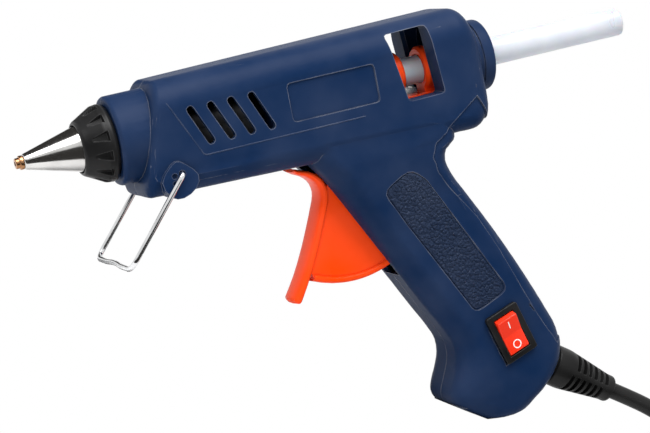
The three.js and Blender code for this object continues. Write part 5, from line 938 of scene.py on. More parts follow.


# What makes each finish, its colour, and then what that function takes: the lowest and highest
# roughness, the bump in millimetres, and for moulded ones the edges' glossy wear with its painted
# highlight and the specular level
FINISHES = {
    "Satin blue": (moulded, "shell", 0.36, 0.48, 0.01, 1.0, 0.05),
    "Pebbled grip": (pebbled_grip, "grip"),
    "Orange": (moulded, "orange", 0.26, 0.36, 0.004, 0.1, 0.1),
    "Collar black": (moulded, "black", 0.3, 0.4, 0.015, 0.3, 0.14),
    "Switch black": (moulded, "black", 0.3, 0.42, 0.01, 0.2, 0.16),
    "Cord rubber": (moulded, "rubber", 0.32, 0.46, 0.015, 0.1, 0.14),
    "Rocker red": (moulded, "rocker", 0.2, 0.3, 0.006, 0.2, 0.25),
    "Mark white": (moulded, (0.86, 0.86, 0.84), 0.4, 0.5, 0.004, 0.0),
    "Cloudy glue": (cloudy_glue, "glue"),
    "Turned steel": (metal, "steel", 0.13, 0.19, 0.002),
    "Polished wire": (metal, "chrome", 0.05, 0.09, 0.0004, 1200, SIDEWAYS),
    "Plated screw": (metal, "steel", 0.22, 0.4, 0.01, 2500, SIDEWAYS),
    "Spring steel": (metal, "steel", 0.18, 0.3),
    "Turned brass": (metal, "brass", 0.16, 0.3, 0.004),
    "Cast aluminium": (metal, "aluminium", 0.38, 0.6, 0.05, 700),
    "Silicone sleeve": (moulded, screen_colour(206, 198, 184), 0.55, 0.7, 0.02, 0.1),
    "Heating plate": (moulded, screen_colour(150, 104, 56), 0.3, 0.45, 0.01, 0.2),
    "Brown lead": (moulded, screen_colour(104, 60, 38), 0.35, 0.5, 0.01, 0.1),
    "Blue lead": (moulded, screen_colour(52, 104, 176), 0.35, 0.5, 0.01, 0.1),
}


# Pieces of the cord


def layer_height(layer):
    """Height of the cord's middle in a layer of the hank, counted up from the table."""
    return CORD_RADIUS + CORD_LIFT + layer * HANK_PITCH


def hank_part(loop, part, start):
    """One of a loop's four parts: a run, a half round fold, the run back and a fold. The runs are
    drawn in at the waist by a smooth step, and the run back comes down a layer by another."""
    share = np.arange(HANK_STEPS) / HANK_STEPS
    turn = math.pi * (share - 0.5)
    drawn = smooth_step(np.minimum(share, 1 - share), 0, drawnShare)
    side = HANK_FOLD + (HANK_WAIST - HANK_FOLD) * drawn
    fold_x, fold_y = HANK_FOLD * np.cos(turn), HANK_FOLD * np.sin(turn)
    along, across = (
        (HANK_RUN * share, -side), (HANK_RUN + fold_x, fold_y),
        (HANK_RUN * (1 - share), side), (-fold_x, -fold_y),
    )[part]
    fall = (0, 0, smooth_step(share, 0, 1), 1)[part]
    height = layer_height(HANK_LAYERS - 1 - loop - fall) + 0 * share
    return np.stack((start[0] + along, across, height), -1)


def hank_path(start):
    """The hank's loops from the top layer down, and the last run at the bottom."""
    parts = [(i // 4, i % 4) for i in range(4 * (HANK_LAYERS - 1) + 1)]
    return np.vstack([hank_part(loop, part, start) for loop, part in parts])


def cord_exit():
    """Where the cord leaves the strain relief, in the row frame, in millimetres."""
    local = turned_about_y((RELIEF_LENGTH + GAP, 0, 0), RELIEF_ANGLE, (RELIEF_X, 0, RELIEF_Z))
    return row(local) / MM


def cord_path():
    """The cord's centreline in the row frame, in millimetres: the free stretch to the hank, the
    hank, and the way on to the plug. Both routes are Catmull-Rom curves through their points."""
    begin = cord_exit()
    top = layer_height(HANK_LAYERS - 1)
    along, side, left = np.array(cordRoute, float).T
    free = np.stack((begin[0] + along, -HANK_FOLD * side, top + (begin[2] - top) * left), -1)
    start = free[-1] + (GAP + 2 * CORD_RADIUS, 0, 0)
    end = np.array((start[0] + HANK_RUN, start[1], layer_height(0)))
    along, side, rise = np.array(tailRoute, float).T
    over, up = PLUG_SIDE - end[1], PLUG_HEIGHT - end[2]
    tail = np.stack((end[0] + along, end[1] + over * side, end[2] + up * rise), -1)
    return np.vstack((spline_through(free, 5), hank_path(start), spline_through(tail, 5)))


def plug_frame(points):
    """Points of the plug's frame in the row frame, in metres: X runs on from the cord's end, Y
    across the pins and Z up."""
    return MM * (cord_path()[-1] + (GAP, 0, 0) + np.asarray(points, float))


def plug_body_grid():
    """The flat plug: rounded-box sections |y/w|^n + |z/h|^n = 1 along x, whose half width w grows
    from the neck to the face. Its edges are drawn in at the face, and its grip has grooves."""
    tail, shoulder = PLUG_TAIL_LENGTH, PLUG_TAIL_LENGTH + PLUG_NECK_LENGTH
    face = shoulder + PLUG_LENGTH
    round_off = np.sin(np.linspace(0.1, 1, 8) * TURN / 4)
    straight = np.linspace(tail, face - PLUG_EDGE, 70)
    x = np.concatenate((straight, face - PLUG_EDGE * (1 - round_off)))
    swell = smooth_step(x, tail, shoulder + 2)
    past = ((x - face + PLUG_EDGE) / PLUG_EDGE).clip(0)
    drawn = PLUG_EDGE * (1 - np.sqrt(np.clip(1 - past**2, 0, 1)))
    width = PLUG_NECK_HALF_WIDTH + (PLUG_HALF_WIDTH - PLUG_NECK_HALF_WIDTH) * swell - drawn
    thicker = (PLUG_HALF_THICKNESS - PLUG_TAIL_RADIUS) * smooth_step(x, tail, shoulder)
    height = PLUG_TAIL_RADIUS + thicker - drawn
    power = 2 + (PLUG_ROUNDNESS - 2) * swell
    angle = np.arange(PLUG_SIDES) * TURN / PLUG_SIDES
    c, s = np.cos(angle), np.sin(angle)
    y = width[:, None] * np.sign(c) * np.abs(c) ** (2 / power[:, None])
    z = height[:, None] * np.sign(s) * np.abs(s) ** (2 / power[:, None])
    band = smooth_step(x, tail + 3, tail + 6) * (1 - smooth_step(x, shoulder + 3, shoulder + 6))
    wave = 0.5 + 0.5 * np.cos(x * TURN / PLUG_GROOVE_PITCH)
    groove = PLUG_GROOVE * (band * wave)[:, None] * np.abs(s) ** 2
    z = z * (1 - groove / height[:, None])
    grid = np.stack((x[:, None] + 0 * y, y, z), -1)
    ends = [np.full((1, PLUG_SIDES, 3), (place, 0.0, 0.0)) for place in (tail, face)]
    return plug_frame(np.vstack((ends[0], grid, ends[1])))


def plug_tail_grid():
    """The grooved tail: a profile of four soft ribs turned about the cord."""
    x = np.linspace(0, PLUG_TAIL_LENGTH + 2, 90)
    ribs = smooth_step(np.cos(x * TURN * PLUG_TAIL_RIBS / PLUG_TAIL_LENGTH - 1.6), -0.3, 0.3)
    low = CORD_RADIUS + GAP
    radius = low + (PLUG_TAIL_RADIUS - low) * ribs
    profile = np.vstack(((0, 0), np.stack((x, radius), -1), (x[-1], 0)))
    return plug_frame(turned(profile, 64))


def pin_grid(side):
    """A round pin with a sleeve over its root and a domed end."""
    face = PLUG_TAIL_LENGTH + PLUG_NECK_LENGTH + PLUG_LENGTH
    corners = (
        (face - PIN_ROOT, 0), (face - PIN_ROOT, PIN_RADIUS), (face + PIN_SLEEVE, PIN_RADIUS),
        (face + PIN_SLEEVE, PIN_BARE_RADIUS), (face + PIN_LENGTH, PIN_BARE_RADIUS),
        (face + PIN_LENGTH, 0),
    )
    grid = turned(softened(corners, (0, 0, 0.1, 0.1, 1.5, 0), 7), 48)
    return plug_frame(grid + (0, side * PIN_SPACING / 2, 0))


def tie_grid():
    """A flat band round the hank's waist: a soft-edged strip carried round a rounded rectangle."""
    low_box, high_box = np.array(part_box("cord_tie"))
    thick = MM * TIE_THICKNESS / 2
    low, high = low_box + thick, high_box - thick
    middle = (low_box + high_box) / 2
    corners = (
        (middle[1], low[2]), (high[1], low[2]), (high[1], high[2]),
        (low[1], high[2]), (low[1], low[2]), (middle[1], low[2]),
    )
    loop = softened(corners, MM * TIE_CORNER, 9)[:-1]
    tangent = np.roll(loop, -1, axis=0) - np.roll(loop, 1, axis=0)
    tangent /= np.linalg.norm(tangent, axis=1, keepdims=True)
    normal = np.stack((tangent[:, 1], -tangent[:, 0]), -1)
    section = softened(((0, -1), (1, -1), (1, 1), (-1, 1), (-1, -1), (0, -1)), 0.3, 4)[:-1]
    yz = loop[:, None] + thick * section[None, :, 1:] * normal[:, None]
    x = middle[0] + MM * TIE_HALF_WIDTH * section[None, :, 0] + 0 * yz[..., 0]
    return np.stack((x, yz[..., 0], yz[..., 1]), -1)


def make_cord():
    """The cord, with its tie, plug and pins."""
    path = MM * cord_path()
    cord = surface("mains_cord", tube_along(path, MM * CORD_RADIUS, CORD_SIDES, (0, 0, 1)))
    stand_for(dress(cord, finish("Cord rubber")), "gun", "black_rubber", "cord_run", "cord_hank")
    tie = surface("hank_tie", tie_grid(), rows_closed=True)
    stand_for(dress(tie, finish("Switch black")), "gun", "black_plastic", "cord_tie")
    plug = surface("mains_plug", plug_body_grid(), plug_tail_grid())
    stand_for(dress(plug, finish("Cord rubber")), "gun", "black_rubber", "plug_body")
    for number, side in ((1, 1), (2, -1)):
        pin = surface(f"mains_pin_{number}", pin_grid(side))
        stand_for(dress(pin, finish("Turned brass")), "gun", "brass", f"plug_pin_{number}")
    length = float(np.linalg.norm(np.diff(path, axis=0), axis=1).sum())
    print(f"cord: {length:.4f} m along its centreline")


# Pieces of the gun


def skin_rings(start, end, half_width, corners, steps):
    """The housing's skin: each row is a rounded rectangle between two points x, z. Its corners
    are quarter rounds of the given steps, at most half of the row's length or its half width."""
    along = end - start
    length = np.linalg.norm(along, axis=1)
    limit = np.minimum(half_width, length / 2)
    near, far = (np.minimum(corner, limit) for corner in corners)
    quarters = (
        (near, near - half_width, near, 2), (length - far, far - half_width, far, 3),
        (length - far, half_width - far, far, 0), (near, half_width - near, near, 1),
    )
    arcs = []
    for place, side, radius, quarter in quarters:
        angle = (quarter + np.arange(steps + 1) / steps) * TURN / 4
        reach = place[:, None] + radius[:, None] * np.cos(angle)
        y = side[:, None] + radius[:, None] * np.sin(angle)
        xz = start[:, None] + (along / length[:, None])[:, None] * reach[..., None]
        arcs.append(np.stack((xz[..., 0], y, xz[..., 1]), -1))
    return np.stack(arcs, axis=1)


def with_legs(arcs, ends, fine):
    """Corner points, each followed by the fine points on the straight leg to the next one."""
    t = (np.arange(fine) / fine)[:, None]
    return arcs[..., None, :] * (1 - t) + ends[..., None, :] * t


def flat_ring(arcs, fine):
    """A faceted ring's points with more points on its straight legs."""
    corners = arcs.reshape(len(arcs), -1, 3)
    return with_legs(corners, np.roll(corners, -1, axis=1), fine).reshape(len(arcs), -1, 3)


def round_ring(arcs, fine):
    """The same ring with true rounds at its corners, point for point."""
    legs = with_legs(arcs[:, :, -1], np.roll(arcs[:, :, 0], -1, axis=1), fine)
    return np.concatenate((arcs[:, :, :-1], legs), axis=2).reshape(len(arcs), -1, 3)


def stations_on(gaps):
    """Row numbers with fractions, a row length apart, for rows that lie the gaps apart."""
    counts = np.maximum(3, np.ceil(gaps / ROW_LENGTH)).astype(int)
    rows = [i + np.arange(n) / n for i, n in enumerate(counts)]
    return np.append(np.concatenate(rows), len(gaps))


def rows_at(rows, stations):
    """Rows between the given rows, by linear interpolation."""
    low = np.minimum(stations.astype(int), len(rows) - 2)
    t = (stations - low).reshape(-1, *[1] * (rows.ndim - 1))
    return rows[low] * (1 - t) + rows[low + 1] * t


def smooth_rows_at(rows, gaps, stations):
    """Rows between the given rows, on cubic Hermite curves whose slope at each row is the mean of
    the chords to its neighbours, weighted by the other chord's length."""
    low = np.minimum(stations.astype(int), len(rows) - 2)
    t = (stations - low)[:, None]
    gaps = gaps[:, None]
    chords = np.diff(rows, axis=0) / gaps
    inner = (chords[:-1] * gaps[1:] + chords[1:] * gaps[:-1]) / (gaps[1:] + gaps[:-1])
    slopes = np.vstack((chords[:1], inner, chords[-1:]))
    leaving, arriving = slopes[low] * gaps[low], slopes[low + 1] * gaps[low]
    return (
        rows[low] * (1 - 3 * t**2 + 2 * t**3) + rows[low + 1] * (3 * t**2 - 2 * t**3)
        + leaving * (t - 2 * t**2 + t**3) + arriving * (t**3 - t**2)
    )


def handle_skins():
    """The handle's faceted skin as packed, and the smooth one through the same rows."""
    corners = (HANDLE_FRONT_CORNER, HANDLE_BACK_CORNER)
    table = np.array(handleShares, float)

    def rings(rows, steps):
        width = rows[:, 4] * BODY_HALF_WIDTH
        return skin_rings(on_handle(rows[:, :2]), on_handle(rows[:, 2:4]), width, corners, steps)

    edges = np.stack((on_handle(table[:, :2]), on_handle(table[:, 2:4])))
    gaps = np.linalg.norm(np.diff(edges, axis=1), axis=-1).mean(axis=0)
    stations = stations_on(gaps)
    faceted = rows_at(flat_ring(rings(table, CORNER_STEPS), FINE_STEPS), stations)
    smooth = rings(smooth_rows_at(table, gaps, stations), CORNER_STEPS * FINE_STEPS)
    return faceted, round_ring(smooth, FINE_STEPS)


def body_skins():
    """The barrel body's faceted skin as packed, and the smooth one, whose nose and tail are drawn
    in by quarter rounds."""
    nose, tail = len(noseTurns), len(tailTurns)
    base = [BODY_FRONT + NOSE_ROUND] * nose
    base += [BODY_FRONT + NOSE_ROUND + BODY_RAKE_LENGTH * share for share in rakeShares]
    base += [BODY_REAR - TAIL_ROUND] * tail
    turns = [(turn, 0) for turn in noseTurns] + [(0, 0)] * len(rakeShares)
    turns += [(0, turn) for turn in tailTurns]
    table = np.column_stack((base, np.radians(turns)))

    def rings(rows, steps):
        middle, nose_turn, tail_turn = rows.T
        x = middle - NOSE_ROUND * np.sin(nose_turn) + TAIL_ROUND * np.sin(tail_turn)
        drawn = np.outer(1 - np.cos(nose_turn), (NOSE_ROUND, CHIN_ROUND, NOSE_ROUND))
        drawn += np.outer(1 - np.cos(tail_turn), TAIL_DRAW)
        share = (x - BODY_FRONT) / (BODY_REAR - BODY_FRONT)
        top = BODY_TOP[0] + (BODY_TOP[1] - BODY_TOP[0]) * share - drawn[:, 0]
        bottom = -BODY_DEPTH[0] - (BODY_DEPTH[1] - BODY_DEPTH[0]) * share + drawn[:, 1]
        lean = math.tan(BODY_RAKE) * np.clip(1 - (x - BODY_FRONT) / BODY_RAKE_LENGTH, 0, None)
        low = np.stack((x + lean * bottom, bottom), -1)
        high = np.stack((x + lean * top, top), -1)
        corners = (BODY_BOTTOM_CORNER, BODY_TOP_CORNER)
        return skin_rings(low, high, BODY_HALF_WIDTH - drawn[:, 2], corners, steps)

    packed = rings(table, CORNER_STEPS)
    gaps = np.linalg.norm(np.diff(packed[:, 3, 0], axis=0), axis=1)
    stations = stations_on(gaps)
    smooth = rings(rows_at(table, stations), CORNER_STEPS * FINE_STEPS)
    return rows_at(flat_ring(packed, FINE_STEPS), stations), round_ring(smooth, FINE_STEPS)


def nearest(points, samples, at_once=400):
    """Number of the sample nearest to each point."""
    samples = samples.astype(np.float32)
    size = (samples**2).sum(axis=1)
    parts = np.array_split(points.astype(np.float32), max(1, len(points) // at_once))
    return np.concatenate([np.argmin(size - 2 * part @ samples.T, axis=1) for part in parts])


def skin_move(points, faceted, smooth):
    """How far a skin's rounding moves each point, and how far the point lies from the skin: the
    move of the nearest sample, carried on to the point by its slopes along rows and rings."""
    move = smooth - faceted
    steps = [np.gradient(faceted, axis=0), (np.roll(faceted, -1, 1) - np.roll(faceted, 1, 1)) / 2]
    changes = [np.gradient(move, axis=0), (np.roll(move, -1, 1) - np.roll(move, 1, 1)) / 2]
    found = nearest(points, faceted.reshape(-1, 3))
    offset = points - faceted.reshape(-1, 3)[found]
    result = move.reshape(-1, 3)[found]
    for step, change in zip(steps, changes):
        step, change = step.reshape(-1, 3)[found], change.reshape(-1, 3)[found]
        share = (offset * step).sum(axis=1) / np.maximum((step**2).sum(axis=1), 1e-9)
        result = result + np.clip(share, -0.6, 0.6)[:, None] * change
    normal = np.cross(*steps).reshape(-1, 3)[found]
    normal /= np.maximum(np.linalg.norm(normal, axis=1, keepdims=True), 1e-9)
    depth = np.abs((offset * normal).sum(axis=1))
    lateral = np.sqrt(np.maximum((offset**2).sum(axis=1) - depth**2, 0))
    return result, np.hypot(depth, np.maximum(lateral - ROW_LENGTH, 0))


def round_housing(points):
    """How far the housing's points move from its packed facets to smooth rounds: the moves of the
    two skins, each fading out with the distance from it and giving way to the nearer skin."""
    (handle, handle_depth), (body, body_depth) = (
        skin_move(points, *skins) for skins in (handle_skins(), body_skins())
    )
    nearer = smooth_step(body_depth - handle_depth, -BLEND_REACH, BLEND_REACH)
    handle_share = nearer * (1 - smooth_step(handle_depth, *SKIN_REACH))
    body_share = (1 - nearer) * (1 - smooth_step(body_depth, *SKIN_REACH))
    return handle_share[:, None] * handle + body_share[:, None] * body


def hide_relief(u, v):
    """Height of a creased hide from 0 to 1: round cells about jittered centres a unit apart, sunk
    where the two nearest centres are equally far."""
    jitter = np.random.default_rng(HIDE_SEED).random((HIDE_CELLS, HIDE_CELLS, 2))
    cell_u, cell_v = np.floor(u).astype(int), np.floor(v).astype(int)
    first = np.full(u.shape, 9.0)
    second = first.copy()
    for du, dv in np.ndindex(5, 5):
        i, j = cell_u + du - 2, cell_v + dv - 2
        place = jitter[i % HIDE_CELLS, j % HIDE_CELLS]
        distance = np.hypot(HIDE_STRETCH * (i + place[..., 0] - u), j + place[..., 1] - v)
        second = np.minimum(second, np.maximum(distance, first))
        first = np.minimum(first, distance)
    return smooth_step(second - first, 0.0, HIDE_CREASE)


def handle_half_width(along, across):
    """Half width of the handle at shares along and across it, between the packed rows."""
    table = np.array(handleShares, float)
    front_along, front_across, back_along, back_across, width = table.T
    share = (across[..., None] - front_across) / (back_across - front_across)
    rows = front_along + (back_along - front_along) * share
    low = np.clip((rows <= along[..., None]).sum(axis=-1) - 1, 0, len(table) - 2)
    start = np.take_along_axis(rows, low[..., None], -1)[..., 0]
    end = np.take_along_axis(rows, low[..., None] + 1, -1)[..., 0]
    t = (along - start) / (end - start)
    return BODY_HALF_WIDTH * (width[low] * (1 - t) + width[low + 1] * t)


def grip_outline():
    """The grip panel's rounded outline in millimetres along and across the handle, set in by its
    margin. It starts at its top end."""
    corners = np.array(gripShares) * (HANDLE_LENGTH, HANDLE_DEPTH)
    start = (corners[:1] + corners[1:2]) / 2
    closed = np.vstack((start, corners[1:], corners[:1], start))
    outline = refined(softened(closed, GRIP_CORNER), GRIP_OUTLINE_STEP)[:-1]
    heading = np.roll(outline, -1, axis=0) - np.roll(outline, 1, axis=0)
    heading /= np.linalg.norm(heading, axis=1, keepdims=True)
    inward = np.stack((-heading[:, 1], heading[:, 0]), -1)
    inward *= np.sign(((corners.mean(axis=0) - outline) * inward).sum())
    outline = outline + GRIP_MARGIN * inward
    return np.roll(outline, -np.argmin(outline[:, 0]), axis=0)


def grip_edge(flat, outline):
    """How high the panel stands at its points, from 0 at the outline to 1 by a quarter round."""
    leg = np.roll(outline, -1, axis=0) - outline
    reach = np.full(flat.shape[:-1], 1e9)
    for place, step in zip(outline[::3], leg[::3] * 3):
        t = np.clip(((flat - place) @ step) / (step @ step), 0, 1)
        reach = np.minimum(reach, np.linalg.norm(flat - place - t[..., None] * step, axis=-1))
    return np.sqrt(1 - (1 - np.clip(reach / GRIP_EDGE, 0, 1)) ** 2)


def grip_panel_grid(side):
    """The textured panel in one flank of the handle: rows across its outline, closer at both
    ends. Its face follows the handle's half width, is rounded down at the outline and carries
    the hide's relief, in two sizes. The row's other half is its flat back."""
    outline = grip_outline()
    far = np.argmax(outline[:, 0])
    chains = (outline[: far + 1], np.vstack((outline[far:], outline[:1]))[::-1])
    chains = sorted(chains, key=lambda chain: chain[:, 1].mean())
    ease = 0.5 - 0.5 * np.cos(np.linspace(0, 1, GRIP_END_STEPS) * TURN / 2)
    along = outline[:, 0].min() + np.ptp(outline[:, 0]) * ease
    middle = np.linspace(along[3], along[-4], GRIP_ROWS)
    along = np.unique(np.concatenate((along[:4], middle, along[-4:])))
    low, high = (np.interp(along, chain[:, 0], chain[:, 1]) for chain in chains)
    across = low[:, None] + (high - low)[:, None] * np.linspace(0, 1, GRIP_COLUMNS)
    flat = np.stack((along[:, None] + 0 * across, across), -1)
    pitches = (GRIP_PITCH, GRIP_PITCH / HIDE_FINER)
    coarse, fine = (hide_relief(*np.moveaxis(flat / pitch, -1, 0)) for pitch in pitches)
    hide = HIDE_COARSE_SHARE * coarse + (1 - HIDE_COARSE_SHARE) * fine
    face = (GRIP_RISE + GRIP_RELIEF * (hide - 1)) * grip_edge(flat, outline)
    shares = flat / (HANDLE_LENGTH, HANDLE_DEPTH)
    floor = handle_half_width(shares[..., 0], shares[..., 1]) - GRIP_DEPTH
    y = np.concatenate((floor + face, (floor - GAP / 2)[:, ::-1]), axis=1)
    shares = np.concatenate((shares, shares[:, ::-1]), axis=1)
    xz = on_handle(shares.reshape(-1, 2)).reshape(shares.shape)
    return row(np.stack((xz[..., 0], side * y, xz[..., 1]), -1))


def crease_grid(side):
    """The fine raised line on a flank: a round tube along its path, mostly sunk, whose radius
    shrinks to nothing at both ends. Above the flat of the flank it follows the top's round."""
    x, z = refined(softened(creasePlaces, CREASE_CORNER), 1.0).T
    share = (x - BODY_FRONT) / (BODY_REAR - BODY_FRONT)
    top = BODY_TOP[0] + (BODY_TOP[1] - BODY_TOP[0]) * share
    above = np.maximum(z - (top - BODY_TOP_CORNER), 0)
    drop = BODY_TOP_CORNER - np.sqrt(BODY_TOP_CORNER**2 - above**2)
    sunk = BODY_HALF_WIDTH - drop + CREASE_RAISE - CREASE_RADIUS
    line = np.stack((x, side * sunk, z), -1)
    tube = tube_along(line, CREASE_RADIUS, CREASE_SIDES, SIDEWAYS)
    end = np.minimum(np.arange(len(line)), np.arange(len(line))[::-1]) / 3
    slim = np.concatenate(([0], np.clip(end, 0, 1), [0]))
    middle = np.vstack((line[:1], line, line[-1:]))
    return row(middle[:, None] + slim[:, None, None] * (tube - middle[:, None]))


def make_housing():
    """The two moulded halves and their screws."""
    edge = bpy.context.scene.glue_gun_sizes.shell_edge
    for name, side in (("left", -1), ("right", 1)):
        half = smooth_copy(f"housing_{name}", f"shell_{name}", edge, rounding=round_housing)
        stand_for(dress(half, finish("Satin blue")), "gun", "housing", f"housing_{name}")
        panel = surface(f"grip_panel_{name}", grip_panel_grid(side), sharp=80)
        stand_for(dress(panel, finish("Pebbled grip")), "gun", "housing")
        line = surface(f"crease_line_{name}", crease_grid(side), sharp=80)
        stand_for(dress(line, finish("Satin blue")), "gun", "housing")
    for number in range(1, 7):
        shade_node(f"housing_screw_{number}", finish("Plated screw"))


def collar_grid():
    """The collar: its outline turned about the stick's axis, with wedge-shaped recesses whose
    flat floors replace the outside where they lie deeper. Each widens towards the rear."""
    edge = COLLAR_LIP / 2
    outside = (
        (COLLAR_FRONT, COLLAR_BORE), (COLLAR_FRONT, COLLAR_FRONT_RADIUS - edge),
        (COLLAR_FRONT + edge, COLLAR_FRONT_RADIUS),
        (COLLAR_FRONT + 3 * edge, COLLAR_FRONT_RADIUS + edge),
        (COLLAR_REAR - 3 * COLLAR_LIP, COLLAR_RADIUS - edge / 2),
        (COLLAR_REAR - COLLAR_LIP, COLLAR_RADIUS),
        (COLLAR_REAR, COLLAR_RADIUS - edge), (COLLAR_REAR, COLLAR_SHANK),
    )
    outline = refined(softened(outside, 0.5), 0.16)
    x, base = outline.T
    sides = COLLAR_RECESSES * COLLAR_PITCH_SIDES
    angle = np.arange(sides) * TURN / sides
    pitch = TURN / COLLAR_RECESSES
    off = (angle + pitch) % pitch - pitch / 2
    front, rear = COLLAR_FRONT + 2 * COLLAR_LIP, COLLAR_REAR - 2 * COLLAR_LIP
    share = np.clip((x - front) / (rear - front), 0, 1)
    floor = COLLAR_FRONT_RADIUS + COLLAR_POINT_RISE * (COLLAR_RADIUS - COLLAR_FRONT_RADIUS)
    floor = floor + (COLLAR_RADIUS - COLLAR_RECESS_DEPTH - floor) * share
    wedge = COLLAR_POINT_WIDTH + (1 - COLLAR_POINT_WIDTH) * share
    half = math.pi / COLLAR_RECESSES / 2 * wedge
    arc = off[None, :] * base[:, None]
    inward = half[:, None] * COLLAR_RADIUS - np.abs(arc)
    begun = smooth_step(x, front, front + COLLAR_RECESS_WALL)
    ended = smooth_step(x, rear - COLLAR_RECESS_WALL, rear)
    inside = smooth_step(inward, -COLLAR_RECESS_EDGE, COLLAR_RECESS_EDGE)
    inside = inside * (begun * (1 - ended))[:, None]
    deep = np.minimum(base[:, None], floor[:, None] / np.cos(off)[None, :])
    radius = base[:, None] * (1 - inside) + deep * inside
    back = (
        (COLLAR_FLANGE_FRONT, COLLAR_SHANK), (COLLAR_FLANGE_FRONT, COLLAR_FLANGE),
        (COLLAR_FLANGE_REAR, COLLAR_FLANGE), (COLLAR_FLANGE_REAR, COLLAR_BORE),
        (COLLAR_FRONT, COLLAR_BORE),
    )
    return np.vstack((about_x(x, radius, angle), turned(back, sides)))


def cone_profile():
    """The steel nozzle: a soft-edged cone with a short skirt, and a threaded shank whose radius
    follows a cosine along it."""
    corners = (
        (CONE_FRONT, CONE_BORE), (CONE_FRONT, CONE_FRONT_RADIUS), (CONE_SKIRT_FRONT, CONE_RADIUS),
        (CONE_REAR, CONE_RADIUS), (CONE_REAR, THREAD_RADIUS),
    )
    front = refined(softened(corners, (0, 0.5, 1.5, 0.5, 0)), 0.6)
    x = np.linspace(CONE_REAR, THREAD_REAR, 110)[1:]
    thread = np.stack((x, THREAD_RADIUS - 0.3 + 0.3 * np.cos(x * TURN / THREAD_PITCH)), -1)
    return np.vstack((front, thread, (THREAD_REAR, CONE_BORE), (CONE_FRONT, CONE_BORE)))


def tip_profile():
    """The brass tip: a short spout with a rim against the cone, and a dark bore."""
    shank, seat = CONE_BORE - GAP, CONE_FRONT - GAP / 4
    corners = (
        (TIP_FRONT, TIP_BORE), (TIP_FRONT, TIP_RADIUS), (TIP_RIM_FRONT, TIP_RADIUS),
        (TIP_RIM_FRONT, TIP_RIM_RADIUS), (seat, TIP_RIM_RADIUS), (seat, shank),
        (TIP_REAR, shank), (TIP_REAR, TIP_BORE), (TIP_FRONT, TIP_BORE),
    )
    return softened(corners, (0, 0.4, 0.12, 0.3, 0.3, 0.05, 0.05, 0.05, 0))


def make_nozzle():
    """The tip, cone and collar, and the ball valve inside."""
    tip = surface("brass_tip", row(turned(tip_profile(), 72)))
    stand_for(dress(tip, finish("Turned brass")), "gun", "brass", "nozzle_tip")
    cone = surface("steel_cone", row(turned(cone_profile(), 128)))
    stand_for(dress(cone, finish("Turned steel")), "gun", "steel", "nozzle_cone")
    collar = surface("black_collar", row(collar_grid()), sharp=50)
    stand_for(dress(collar, finish("Collar black")), "gun", "black_plastic", "nozzle_collar")
    shade_node("check_ball", finish("Plated screw"), 80)
    shade_node("check_spring", finish("Spring steel"), 80)


def make_heater():
    """The melt chamber, its heating plate and clips, and the inlet sleeve."""
    shade_node("melt_chamber", finish("Cast aluminium"))
    shade_node("heater_plate", finish("Heating plate"))
    shade_node("heater_clip", finish("Spring steel"))
    shade_node("inlet_sleeve", finish("Silicone sleeve"))
    shade_node("sleeve_clip", finish("Spring steel"))


def guide_profile():
    """The rear ring: a collar inside the housing, a neck, and a flange with a flared mouth."""
    corners = (
        (GUIDE_FRONT, GUIDE_BORE), (GUIDE_FRONT, GUIDE_COLLAR_RADIUS),
        (GUIDE_COLLAR_REAR, GUIDE_COLLAR_RADIUS),
        (GUIDE_COLLAR_REAR, GUIDE_NECK_RADIUS), (GUIDE_NECK_REAR, GUIDE_NECK_RADIUS),
        (GUIDE_NECK_REAR, GUIDE_COLLAR_RADIUS), (GUIDE_FLANGE_FRONT, GUIDE_COLLAR_RADIUS),
        (GUIDE_FLANGE_FRONT, GUIDE_FLANGE_RADIUS), (GUIDE_FLANGE_REAR, GUIDE_FLANGE_RADIUS),
        (GUIDE_FLANGE_REAR, GUIDE_MOUTH),
        (GUIDE_FLANGE_REAR - GUIDE_MOUTH + GUIDE_BORE, GUIDE_BORE), (GUIDE_FRONT, GUIDE_BORE),
    )
    return softened(corners, (0, 0.2, 0.2, 0.2, 0.2, 0.2, 0.15, 0.5, 1.6, 0.8, 1, 0), 6)


def stick_profile():
    """The glue stick: a plain rod with a soft cut end, and a melted one that fits the chamber."""
    corners = (
        (STICK_FRONT, 0), (STICK_FRONT, STICK_RADIUS - STICK_MELT[1]),
        (STICK_FRONT + STICK_MELT[0], STICK_RADIUS), (STICK_REAR, STICK_RADIUS), (STICK_REAR, 0),
    )
    return refined(softened(corners, (0, 0.8, 2, 0.7, 0)), 6)


def make_feed():
    """The glue stick, the slide that carries it forward with its jaw, and the rear guide ring."""
    sizes = bpy.context.scene.glue_gun_sizes
    stick = surface("cloudy_stick", row(turned(stick_profile(), 96)))
    stand_for(dress(stick, finish("Cloudy glue")), "stick", "glue", "glue_stick")
    ring = surface("rear_ring", row(turned(guide_profile(), 128)))
    stand_for(dress(ring, finish("Satin blue")), "gun", "housing", "guide_ring")
    slide = smooth_copy("feed_slide", "orange_slide", sizes.small_edge)
    stand_for(dress(slide, finish("Orange")), "slide", "orange", "feed_slide")
    shade_node("grip_jaw", finish("Plated screw"))
    shade_node("jaw_pin", finish("Plated screw"))
    shade_node("return_spring", finish("Spring steel"), 80)


def rounded_section(a, b, power):
    """How far a point of a square section moves to make it round: its shares of the half sizes
    shrink so that max(|a|, |b|) becomes (|a|^n + |b|^n)^(1/n)."""
    high = np.maximum(np.abs(a), np.abs(b))
    return high / np.maximum((np.abs(a) ** power + np.abs(b) ** power) ** (1 / power), 1e-6) - 1


def power_at(place, powers):
    """A section's power: the first one at its front and the second one at its back."""
    return powers[0] + (powers[1] - powers[0]) * smooth_step(place, -0.2, 0.8)


